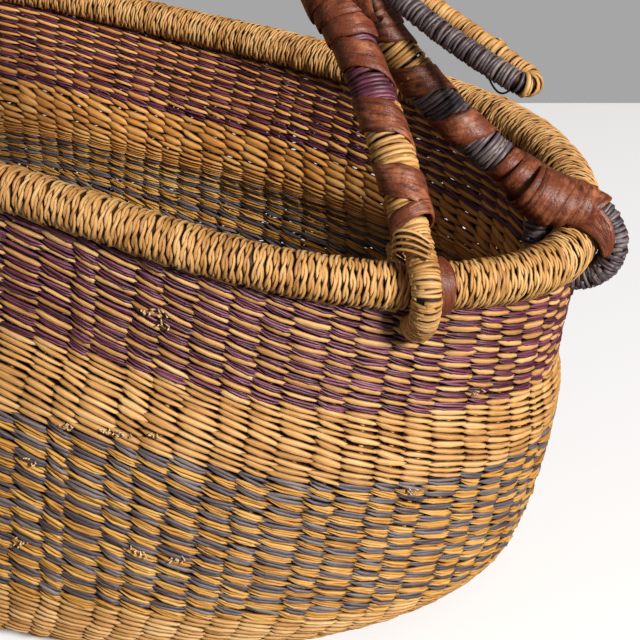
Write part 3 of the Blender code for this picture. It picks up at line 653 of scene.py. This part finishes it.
def floor_stakes():
    """The floor's stakes, as a closed sheet in its middle, dark with painted shade."""
    places = np.concatenate([np.linspace(3.3, 6.0, 22), [6.5, 6.99]])
    steps, count, half_thick = 144, len(places), 0.0008
    rows = 2 * count
    angles = rim_angle(np.arange(steps) / steps)
    points = np.concatenate([wall_point(angles[:, None], places[None, :], np.full((1, 1), offset))
                             for offset in (half_thick, -half_thick)], axis=1).reshape(-1, 3)
    faces = []
    for a in range(steps):
        b = (a + 1) % steps
        a, b = a * rows, b * rows
        for k in range(count - 1):
            faces.append((a + k, a + k + 1, b + k + 1, b + k))
            faces.append((b + count + k, b + count + k + 1, a + count + k + 1, a + count + k))
        faces.append((a, b, b + count, a + count))
        faces.append((b + count - 1, a + count - 1, a + rows - 1, b + rows - 1))
    mesh = bpy.data.meshes.new("floor_stakes")
    mesh.from_pydata(points.tolist(), [], faces)
    mesh.update()
    mesh.shade_smooth()
    layer = mesh.uv_layers.new(name="UVMap")
    where = np.array([(v // rows * 0.5, v % rows * 0.1) for f in faces for v in f])
    layer.data.foreach_set("uv", where.astype(np.float32).ravel())
    placed(bpy.data.objects.new("floor_stakes", mesh), PAINTED_SHADE_FILL, ["stakes"], link=True)


floor_stakes()


# ---- The rim

def rim_filling():
    """The bundle inside the rim, seen between the turns of its cord, dark with painted shade."""
    tube, radius = 0.25, 0.0082
    bpy.ops.mesh.primitive_torus_add(major_segments=200, minor_segments=16, major_radius=1, minor_radius=tube)
    item = bpy.context.object
    item.name = "rim_filling"
    points = np.array([v.co for v in item.data.vertices], float)
    out = (np.hypot(points[:, 0], points[:, 1]) - 1) / tube
    rise = points[:, 2] / tube
    phi = rim_angle(np.arctan2(points[:, 1], points[:, 0]) / (2 * math.pi))
    size = (radius * swell(phi))[:, None]
    led = rim_centre(phi) + outward(phi) * out[:, None] * size + stack(0.0, 0.0, rise) * size
    item.data.vertices.foreach_set("co", led.astype(np.float32).ravel())
    item.data.update()
    item.data.shade_smooth()
    placed(item, PAINTED_SHADE_FILL, ["rim_core"])


rim_filling()


def rim_cord():
    """The cord wound round the rim, turn beside turn, from inside the wall over to outside."""
    turns, stations, plies = 466, 37, 2
    share = (np.arange(turns) + rng.normal(0, 0.06, turns)) / turns
    sweep = np.linspace(math.radians(-98), math.radians(276), stations)
    lean_over = (sweep - math.radians(90)) / (2 * math.pi)
    thick = 1 + 0.06 * rng.normal(0, 1, turns)
    for half, low, high in (("right", 0, turns // 2), ("left", turns // 2, turns)):
        pick = np.arange(low, high)
        count = len(pick)
        sway = 0.10 * np.sin(sweep[None, :] * 2.0 + rng.random((count, 1)) * 6)
        along = share[pick][:, None] + (lean_over[None, :] * 1.5 + sway) / turns
        phi = rim_angle(along)
        size = RIM_RADIUS * swell(phi) - 0.0010 + 0.00020 * rng.normal(0, 1, (count, 1))
        start = rng.random((count, 1)) * 6
        for ply in range(plies):
            twist = -sweep[None, :] * 3.6 + start + math.pi * ply
            led = rim_angle(along + 0.00068 * np.cos(twist) / RIM_LENGTH)
            radial = outward(led) * np.cos(sweep)[None, :, None] + stack(0.0, 0.0, np.sin(sweep))[None]
            wide = 0.00088 * thick[pick][:, None] * (1 + 0.10 * rng.normal(0, 1, (count, 1))) * np.ones(led.shape)
            wide[:, [0, -1]] *= 0.5
            path = rim_centre(led) + radial * (size + 0.00042 * np.sin(twist))[..., None]
            swept(f"rim_cord_{half}_{ply}", path, radial, wide, wide * 0.8, STRAND_SIDES, RIM_CORD, ["rim_wrap"])


rim_cord()


# ---- The handle's lines

def handle_axes(end_turn):
    spot = rim_centre(HANDLE_TURN + end_turn)
    along = unit(np.array([spot[0], spot[1], 0.0]))
    return along, np.cross([0, 0, 1], along)


def fork_point(end_turn, across=0.0):
    along, sideways = handle_axes(end_turn)
    height = arch_point(-FORK_REACH if end_turn else FORK_REACH)[2]
    return along * FORK_REACH + sideways * across + UP * height


def foot_angle(end_turn, side):
    return HANDLE_TURN + end_turn + side * 2 * STAKE_STEP


def eye_radius(angle):
    return RIM_RADIUS * float(swell(angle)) + 0.0002 + EYE_ROPE


def eye_path(angle, target, tail_rise):
    centre = rim_centre(angle)
    out = outward(angle)
    radius = eye_radius(angle)
    level = float((target - centre) @ out)
    rise = float(target[2] - centre[2])
    leave = math.atan2(rise, level) - math.acos(radius / math.hypot(level, rise)) + 2 * math.pi
    turns = np.linspace(math.pi, leave, 36)
    ring = centre + radius * (np.cos(turns)[:, None] * out + np.sin(turns)[:, None] * UP)
    return np.concatenate([[ring[0] + UP * tail_rise], ring])


def arch_point(level, across=0.0):
    along, sideways = handle_axes(0)
    rise = ARCH_RISE * (1 - (level / FORK_REACH) ** 2) + LEFT_FORK_RISE * (1 - level / FORK_REACH) / 2
    return along * level + sideways * across + UP * (RIM_HEIGHT + FORK_RISE + rise)


class Line:
    """A smooth line with frames that don't twist, read by its length."""

    def __init__(self, points):
        points = np.array(points, float)
        run = np.concatenate([[0], np.cumsum(np.linalg.norm(np.diff(points, axis=0), axis=1))])
        self.length = run[-1]
        self.at = np.linspace(0, run[-1], max(8, int(run[-1] / 0.0008)))
        self.points = np.stack([np.interp(self.at, run, points[:, k]) for k in range(3)], axis=1)
        tangent = unit(np.gradient(self.points, axis=0))
        side = np.cross(tangent[0], [0, 0, 1.0])
        if np.linalg.norm(side) < 0.2:
            side = np.cross(tangent[0], [0, 1.0, 0])
        frames = [unit(side)]
        for ahead in tangent[1:]:
            frames.append(unit(frames[-1] - ahead * (frames[-1] @ ahead)))
        self.side = np.array(frames)
        self.rise = np.cross(self.side, tangent)
        self.tangent = tangent

    def read(self, where, values):
        return np.stack([np.interp(where, self.at, values[:, k]) for k in range(3)], axis=-1)

    def around(self, where, turn, radius):
        """The point at an angle round the line, and the direction away from it."""
        side, rise = self.read(where, self.side), self.read(where, self.rise)
        away = unit(side * np.cos(turn)[..., None] + rise * np.sin(turn)[..., None])
        return self.read(where, self.points) + away * np.asarray(radius)[..., None], away


def wound(name, line, start, end, radius, pitch, material, nodes, body="basket", flat=0.8, ragged=0.16, wide=0.62):
    """Straw wound turn by turn round a line between two lengths along it."""
    turns, stations = max(2, int(abs(end - start) / pitch)), 15
    at = np.linspace(start, end - pitch, turns) + rng.normal(0, ragged * pitch * 0.5, turns)
    sweep = np.linspace(0, 2 * math.pi * 1.10, stations)
    offset = rng.random() * 6 + rng.normal(0, 0.5, (turns, 1))
    where = at[:, None] + (sweep[None, :] + offset) / (2 * math.pi) * pitch + 0.28 * pitch * np.sin(
        sweep[None, :] + rng.random((turns, 1)) * 6)
    size = radius * (1 + 0.025 * rng.normal(0, 1, (turns, 1))) + 0.00012 * np.sin(where * 2100)
    where = np.clip(where, min(start, end), max(start, end))
    paths, away = line.around(where, sweep[None, :] + offset, size)
    half = pitch * wide * (1 + ragged * rng.normal(0, 1, (turns, 1))) * np.ones((1, stations))
    swept(name, paths, away, half, half * flat, STRAND_SIDES, material, nodes, body)


def tube_item(name, line, start, end, radius, material, nodes=(), body="basket"):
    where = np.linspace(start, end, max(4, int(abs(end - start) / 0.003)))[None, :]
    size = np.full(where.shape, radius)
    size[:, [0, -1]] *= 0.55
    swept(name, line.read(where, line.points), line.read(where, line.rise), size, size, 12, material, nodes, body)


def band_round(name, line, at, turn_start, turns, width, thickness, radius, nodes, advance=0.0, tilt=0.0,
               ragged=0.0004, lift=0.0005):
    """A flat leather band wound round a line, lapping over itself."""
    sweep = np.linspace(0, 2 * math.pi * turns, max(8, int(20 * turns)))
    share = sweep / (2 * math.pi)
    where = at + advance * share + tilt * np.sin(sweep + turn_start)
    size = radius + lift * share + ragged * 0.5 * np.sin(sweep * 3.1 + at * 900)
    path, away = line.around(where, sweep + turn_start, size)
    edge = width / 2 * (1 + 0.10 * np.sin(sweep * 1.7 + at * 500) + 0.05 * np.sin(sweep * 5.3))
    leather_band(name, path, away, edge, thickness, nodes)


def leather_band(name, path, away, half_width, thickness, nodes):
    """A thin cambered strip of leather with rounded edges along a path."""
    stations, strips = len(path), 6
    tangent = unit(np.gradient(path, axis=0))
    across = unit(np.cross(tangent, away))
    rise = np.cross(across, tangent)
    share = np.linspace(-1, 1, strips + 1)
    camber = 1 - 0.35 * share ** 4
    ring_across = np.concatenate([share, share[::-1]])
    ring_up = np.concatenate([camber * 0.5, -camber[::-1] * 0.5])
    ring_up[0] = ring_up[strips] = 0.25
    half = np.asarray(half_width)[:, None, None]
    ripple = 0.00025 * np.sin(np.arange(stations) * 0.9)[:, None, None] * np.abs(ring_across)[None, :, None] ** 3
    points = (path[:, None] + across[:, None] * ring_across[None, :, None] * half
              + rise[:, None] * (ring_up[None, :, None] * thickness + ripple))
    corners, starts, where = tube_net(stations, len(ring_across))
    length = np.linalg.norm(np.diff(path, axis=0), axis=-1).sum()
    u = where[:, 0] / (stations - 1) * length / 0.01
    v = ring_across[where[:, 1].astype(int) % len(ring_across)] * 0.5
    uv = np.stack([u, v], axis=-1)[None]
    repeated(name, corners, starts, points.reshape(1, -1, 3), uv, np.array([rng.random()]), LEATHER, nodes)


# ---- Stage, light and camera

def stage():
    bpy.ops.mesh.primitive_plane_add(size=1)
    table = bpy.context.object
    table.name = "table"
    ahead = Vector((-math.sin(CAMERA_YAW), math.cos(CAMERA_YAW), 0))
    right = Vector((math.cos(CAMERA_YAW), math.sin(CAMERA_YAW), 0)) * TABLE_HALF_WIDTH
    ground = Vector((*CAMERA_SPOT[:2], 0))
    near, far = ground + ahead * TABLE_NEAR, ground + ahead * TABLE_FAR
    for vertex, spot in zip(table.data.vertices, (near - right, near + right, far - right, far + right)):
        vertex.co = spot
    table.data.update()
    material, nodes, inputs = new_material("white table")
    camera_only = nodes.camera_ray()
    nodes.feed(inputs["Base Color"], nodes.mix(camera_only, (0.17, 0.17, 0.18), (0.97, 0.97, 0.98)))
    nodes.feed(inputs["Emission Color"], (0.97, 0.98, 1.0))
    nodes.feed(inputs["Emission Strength"], nodes.times(camera_only, 0.17))
    nodes.feed(inputs["Roughness"], 0.55)
    nodes.feed(inputs["Specular IOR Level"], 0.2)
    table.data.materials.append(material)
    world = bpy.data.worlds.new("studio")
    bpy.context.scene.world = world
    world.use_nodes = True
    nodes = Nodes(world.node_tree)
    inputs = world.node_tree.nodes["Background"].inputs
    nodes.feed(inputs["Strength"], 1.0)
    nodes.feed(inputs["Color"], nodes.mix(nodes.camera_ray(), (0.11, 0.105, 0.10), rgb(166, 166, 167)))


def lamp(name, spot, target, size, power):
    data = bpy.data.lights.new(name, "AREA")
    data.size = size
    data.energy = power
    data.color = (1.0, 0.98, 0.95)
    item = bpy.data.objects.new(name, data)
    bpy.context.scene.collection.objects.link(item)
    item.location = spot
    item.rotation_euler = (Vector(target) - Vector(spot)).to_track_quat("-Z", "Y").to_euler()


def light_and_camera():
    lamp("key", (4.12, -1.89, 2.42), (0.08, 0.0, 0.14), 1.0, 385)
    lamp("fill", (-0.9, -1.3, 0.9), (0, 0, 0.12), 0.8, 1.5)
    camera = bpy.data.cameras.new("camera")
    camera.lens = FOCAL_SHARE * SENSOR
    camera.sensor_width = SENSOR
    camera.clip_start = 0.02
    item = bpy.data.objects.new("camera", camera)
    bpy.context.scene.collection.objects.link(item)
    item.location = CAMERA_SPOT
    item.rotation_euler = (CAMERA_TILT, 0, CAMERA_YAW)
    bpy.context.scene.camera = item
    bpy.context.scene.view_settings.view_transform = "Standard"


# ---- The handle's ropes

def leg_line(end_turn, leg):
    """A leg from the tail of its eye to the fork, and where along it the leg leaves the eye."""
    angle = foot_angle(end_turn, leg.side)
    fork = fork_point(end_turn, leg.side * GRIP_SPREAD)
    turn = (rim_centre(angle) + fork) / 2 + handle_axes(end_turn)[0] * leg.shift + UP * leg.bow
    eye = eye_path(angle, turn, leg.tail_rise)
    share = np.linspace(0, 1, 40)[1:, None]
    curve = eye[-1] * (1 - share) ** 2 + turn * 2 * share * (1 - share) + fork * share ** 2
    foot = np.linalg.norm(np.diff(eye, axis=0), axis=1).sum()
    return Line(np.concatenate([eye, curve])), foot


def grip_line(across=0.0):
    return Line([arch_point(level, across) for level in np.linspace(-FORK_REACH, FORK_REACH, 60)])


CUFF_START = 0.0180
STRAW_PITCH = 0.0019
EYE_PITCH = 0.0014
LEATHER_OVER = ROPE_RADIUS + 0.0019

# A leg as it lies at the right end. Change is where its straw changes colour, as a share of its length.
Leg = namedtuple("Leg", "kind side cuff change eye_straw low_straw high_straw tail_rise bow shift")
LEGS = [
    Leg("front", -1, 0.0090, 0.62, RIM_STRAW, RIM_STRAW, MAROON, 0.0120, 0.0120, 0.0060),
    Leg("back", 1, 0.0240, 0.76, GREY, GREY, RIM_STRAW, 0.0060, -0.0260, 0.0080),
]


def leg_name(leg, end):
    """The left end is the right one turned half round, so its front leg is the right end's back one."""
    return f"{leg.kind if end == 'right' else {'front': 'back', 'back': 'front'}[leg.kind]}_{end}"


def legs():
    for end, end_turn in ENDS:
        for leg in LEGS:
            tail = leg_name(leg, end)
            line, foot = leg_line(end_turn, leg)
            core = f"rope_{leg.kind}"
            # The rope inside the leg, dark with painted shade between the straw turns
            tube_item(f"leg_filling_{tail}", line, 0.0006, line.length - 0.002, 0.0054, PAINTED_SHADE_FILL, [core])
            wound(f"eye_straw_{tail}", line, 0.0, foot + CUFF_START + 0.002, EYE_ROPE - 0.0006, EYE_PITCH,
                  leg.eye_straw, [core], flat=0.7, wide=0.72)
            start = foot + CUFF_START + leg.cuff
            top = line.length - 0.0290
            middle = start + (top - start) * leg.change
            over = ROPE_RADIUS + 0.0010
            wound(f"low_straw_{tail}", line, start - 0.003, middle, over, STRAW_PITCH, leg.low_straw,
                  [f"straw_low_{tail}"])
            wound(f"high_straw_{tail}", line, middle, line.length - 0.014, over, STRAW_PITCH, leg.high_straw,
                  [f"straw_high_{tail}"])
            narrow = leg.cuff < 0.012
            if narrow:
                band_round(f"leather_cuff_{tail}", line, start - leg.cuff / 2 - 0.001, 0.6, 1.5, leg.cuff * 0.66,
                           0.0012, LEATHER_OVER, [f"cuff_{tail}"], tilt=0.0026, lift=0.0003)
            else:
                foot_leather(tail, line, foot, start)
                foot_fold(tail, foot_angle(end_turn, leg.side))
            pitch = (top - start - 0.004 - 0.013) / 2 + 0.0024
            low, back = (0.0065, 0.5) if narrow else (0.0105, 0.0)
            band_round(f"leather_strip_{tail}", line, start + low - pitch * back, 2.0 - 2 * math.pi * back,
                       2.9 + back, 0.0125, 0.0011, LEATHER_OVER, [f"strip_{tail}"], advance=pitch, ragged=0.0003,
                       lift=0.0)
            band_round(f"leather_top_{tail}", line, line.length - 0.0195, 1.0, 2.6, 0.0135, 0.0013,
                       LEATHER_OVER + 0.0008, [], advance=0.0085, lift=0.0012)
            strap(tail, foot_angle(end_turn, leg.side))


def foot_leather(tail, line, foot, top):
    """Wide leather wound turn over turn from the top of an eye up the leg, taking the rope's tail in."""
    begin = foot - 0.0045
    turns = 7
    sweep = np.linspace(0, 2 * math.pi * turns, turns * 26)
    share = sweep / sweep[-1]
    where = begin + (top - 0.004 - begin) * share + 0.0016 * np.sin(sweep + 1.0) + 0.0008 * np.sin(sweep * 0.37)
    rise = line.read(where, line.rise)
    # Towards the tail the leather stands out from the leg
    reach = 0.0120 * np.exp(-((where - foot - 0.0190) / 0.0120) ** 2)
    down = np.clip(-np.sign(rise[:, 2]) * np.sin(sweep), 0, 1) ** 2
    lift = ROPE_RADIUS + 0.0012 + 0.0007 * np.sin(share * math.pi) + reach * down + 0.0003 * np.sin(sweep * 1.7)
    lift = lift - 0.0009 * np.exp(-share * 9)
    path, away = line.around(where, sweep, lift)
    half = 0.0058 * (1 + 0.12 * np.sin(sweep * 0.61) + 0.06 * np.sin(sweep * 2.3)) * np.clip(share * 14, 0.2, 1)
    leather_band(f"foot_leather_{tail}", path, away, half, 0.0013, [f"cuff_{tail}"])


def foot_fold(tail, angle):
    """The end of the wide leather, folded down outside the rim over the eye."""
    centre = rim_centre(angle)
    out = outward(angle)
    beside = np.cross(out, [0, 0, 1.0])
    turn = np.linspace(math.radians(100), math.radians(-12), 22)[:, None]
    radial = out * np.cos(turn) + UP * np.sin(turn)
    share = np.linspace(0, 1, 22)[:, None]
    path = centre + radial * (eye_radius(angle) - 0.0015) + beside * (0.0070 + 0.0010 * np.sin(share * 3))
    half = 0.0066 * (1 - share[:, 0] ** 2.2 * 0.85)
    leather_band(f"foot_fold_{tail}", path, unit(radial * 0.3 + beside), half, 0.0012, [])


def strap(tail, angle):
    """The leather strap over the rim beside an eye."""
    pace = float(np.linalg.norm(rim_centre(angle + 0.01) - rim_centre(angle))) / 0.01
    phi = angle + (ROPE_RADIUS + 0.0005 + 0.003) / pace
    sweep = np.linspace(math.radians(-60), math.radians(240), 26)
    size = RIM_RADIUS * float(swell(phi)) + 0.0012
    radial = outward(phi)[None] * np.cos(sweep)[:, None] + np.sin(sweep)[:, None] * UP
    path = rim_centre(phi)[None] + radial * size
    width = 0.0031 * (1 + 0.15 * np.sin(sweep * 2.3))
    leather_band(f"rim_strap_{tail}", path, radial, width, 0.0013, [f"strap_{tail}"])


def lashings():
    """Creased turns of leather round the legs, the ropes and the loop's root at each fork."""
    for end, end_turn in ENDS:
        along, sideways = handle_axes(end_turn)
        middle = fork_point(end_turn)
        inward = arch_point((-1 if end_turn else 1) * (FORK_REACH - 0.030))
        line = Line([inward, middle + (inward - middle) * 0.4, middle + along * 0.006,
                     middle + along * 0.028 + UP * 0.002])
        turns = ((0.15, 0.012), (0.31, 0.011), (0.48, 0.013), (0.63, 0.010), (0.77, 0.012))
        for k, (share, width) in enumerate(turns):
            radius = 0.0128 * math.sqrt(max(0.2, 1 - (2 * share - 1) ** 2 * 0.8))
            sweep = np.linspace(0, 2 * math.pi * 1.15, 30)
            where = line.length * share + 0.003 * np.sin(sweep + k * 1.3)
            path = line.around(where, sweep + k, np.full(where.shape, radius + 0.0009 * (k % 2)))[0]
            centre = line.read(where, line.points)
            offset = path - centre
            offset = offset + sideways * (offset @ sideways)[:, None] * 0.28
            half = width / 2 * (1 + 0.14 * np.sin(sweep * 2.1 + k))
            leather_band(f"fork_turn_{end}_{k}", centre + offset, unit(offset), half, 0.0016,
                         [f"fork_lashing_{end}"] if k == 0 else [])


def grip():
    """A leather strip wound over both ropes of the grip, lapping turn over turn."""
    line = grip_line()
    turns = 17
    sweep = np.linspace(0, 2 * math.pi * turns, turns * 28)
    start, end = 0.018, line.length - 0.018
    where = start + (end - start) * sweep / sweep[-1] + 0.0010 * np.sin(sweep * 0.31)
    sideways = handle_axes(0)[1]
    centre = line.read(where, line.points)
    rise = unit(np.cross(line.read(where, line.tangent), sideways))
    rise *= np.sign(rise[:, 2])[:, None]
    radius = ROPE_RADIUS + 0.0016
    spread = GRIP_SPREAD * np.tanh(np.cos(sweep) * 3) / math.tanh(3)
    path = centre + sideways * (spread + radius * np.cos(sweep))[:, None] + rise * (radius * np.sin(sweep))[:, None]
    away = unit(sideways * np.cos(sweep)[:, None] + rise * np.sin(sweep)[:, None])
    half = 0.0095 * (1 + 0.07 * np.sin(sweep * 0.83) + 0.03 * np.sin(sweep * 2.9))
    leather_band("grip_leather_wound", path, away, half, 0.0014, ["grip_leather"])
    for kind, way in (("front", -1), ("back", 1)):
        rope = grip_line(way * GRIP_SPREAD)
        tube_item(f"grip_rope_{kind}", rope, 0.0, rope.length, ROPE_RADIUS - 0.0004, RIM_STRAW)


def loop_root(end_turn):
    along, sideways = handle_axes(end_turn)
    return along, sideways, fork_point(end_turn) + along * LOOP_OUT + UP * LOOP_UP


def loops():
    """The hairpin of wrapped rope past each fork: one strand grey and one natural."""
    for end, end_turn in ENDS:
        nodes, body = [f"loop_{end}"], f"loop_{end}"
        along, sideways, root = loop_root(end_turn)
        straight = LOOP_REACH - LOOP_ROOT_SPREAD
        share = np.arange(16) / 16
        strand = LOOP_ROOT_SPREAD + LOOP_BULGE * np.sin(math.pi * share)
        turns = np.linspace(math.pi / 2, -math.pi / 2, 13)
        out = np.concatenate([straight * share, straight + LOOP_ROOT_SPREAD * np.cos(turns), straight * share[::-1]])
        across = np.concatenate([strand, LOOP_ROOT_SPREAD * np.sin(turns), -strand[::-1]])
        drop = LOOP_DROP * (out / LOOP_REACH) ** 0.9
        line = Line(root + along * out[:, None] + sideways * across[:, None] - UP * drop[:, None])
        half = line.length / 2
        # The rope inside the loop, dark with painted shade between the straw turns
        tube_item(f"loop_filling_{end}", line, 0, line.length, LOOP_RADIUS - 0.0009, PAINTED_SHADE_FILL, nodes, body)
        wound(f"loop_natural_{end}", line, 0.0, half + 0.004, LOOP_RADIUS - 0.0004, 0.0015, RIM_STRAW, nodes, body)
        wound(f"loop_grey_{end}", line, half + 0.001, line.length, LOOP_RADIUS - 0.0003, 0.0015, GREY, nodes, body)
        wound(f"loop_splice_{end}", line, half - 0.027, half - 0.022, LOOP_RADIUS + 0.0003, 0.0016, RIM_STRAW,
              [], body, ragged=0.5)


def cut_ends():
    """Small tufts of cut straw ends, standing out of the weave where a new straw was set in."""
    spots = np.array([(0.835, 0.515), (0.8391, 0.471), (0.8405, 0.559), (0.8055, 1.972), (0.791, 2.237),
                      (0.8212, 1.913), (0.8267, 1.884), (0.837, 1.825), (0.7828, 2.664), (0.8302, 2.575),
                      (0.846, 2.575), (0.9503, 0.854), (0.927, 2.06), (0.612, 1.9), (0.443, 2.3), (0.318, 1.85),
                      (0.171, 2.45), (0.066, 1.95)])
    stubs = 7
    spots = np.repeat(spots, stubs, axis=0)
    count = len(spots)
    share = spots[:, 0] + rng.normal(0, 0.0012, count)
    place = spots[:, 1] + rng.normal(0, 0.010, count)
    angle = rim_angle(share)
    start = wall_point(angle, row_place(angle, place), np.full(count, 0.0014))
    end = wall_point(angle + rng.normal(0.003, 0.006, count), row_place(angle, place + rng.normal(0, 0.008, count)),
                     rng.uniform(0.0036, 0.0048, count))
    paths = start[:, None] + (end - start)[:, None] * np.linspace(0, 1, 4)[None, :, None]
    rises = np.broadcast_to(unit(stack(0.2, 0.1, 1.0)), paths.shape)
    swept("cut_straw_ends", paths, rises, 0.00042, 0.00034, STRAND_SIDES, CUT_STRAW, [])


def loose_straws():
    """Straw ends that came loose: a small bow under each loop and one beside each front eye."""
    for end, end_turn in ENDS:
        along, sideways, root = loop_root(end_turn)
        share = np.linspace(0, 1, 14)[:, None]
        out = LOOP_REACH * (0.72 + 0.20 * share)
        sag = 0.0052 * np.sin(math.pi * share[:, 0]) + 0.0030
        path = root + along * out - sideways * (LOOP_ROOT_SPREAD + 0.0004)
        path[:, 2] -= LOOP_DROP * (out[:, 0] / LOOP_REACH) ** 0.9 + sag
        swept(f"loose_straw_{end}", path[None], np.broadcast_to(sideways, path.shape)[None], 0.00042, 0.00034,
              STRAND_SIDES, GREY, [], f"loop_{end}")
        line, foot = leg_line(end_turn, LEGS[0])
        turn, strand = np.linspace(-0.4, 2.4, 16)[None, :], np.arange(4)[:, None]
        where = foot + 0.0125 - 0.0022 * strand + 0.0050 * np.sin(turn * 1.2)
        away_by = EYE_ROPE + 0.0010 + 0.0020 * np.sin(np.clip(turn, 0, 2.2) * 1.4) + 0.0004 * strand
        paths, rises = line.around(where, turn + 2.1 + 0.12 * strand, away_by)
        swept(f"loose_tail_{leg_name(LEGS[0], end)}", paths, rises, 0.00075, 0.00055, STRAND_SIDES, RIM_STRAW, [])


legs()
lashings()
grip()
loops()
cut_ends()
loose_straws()
stage()
light_and_camera()
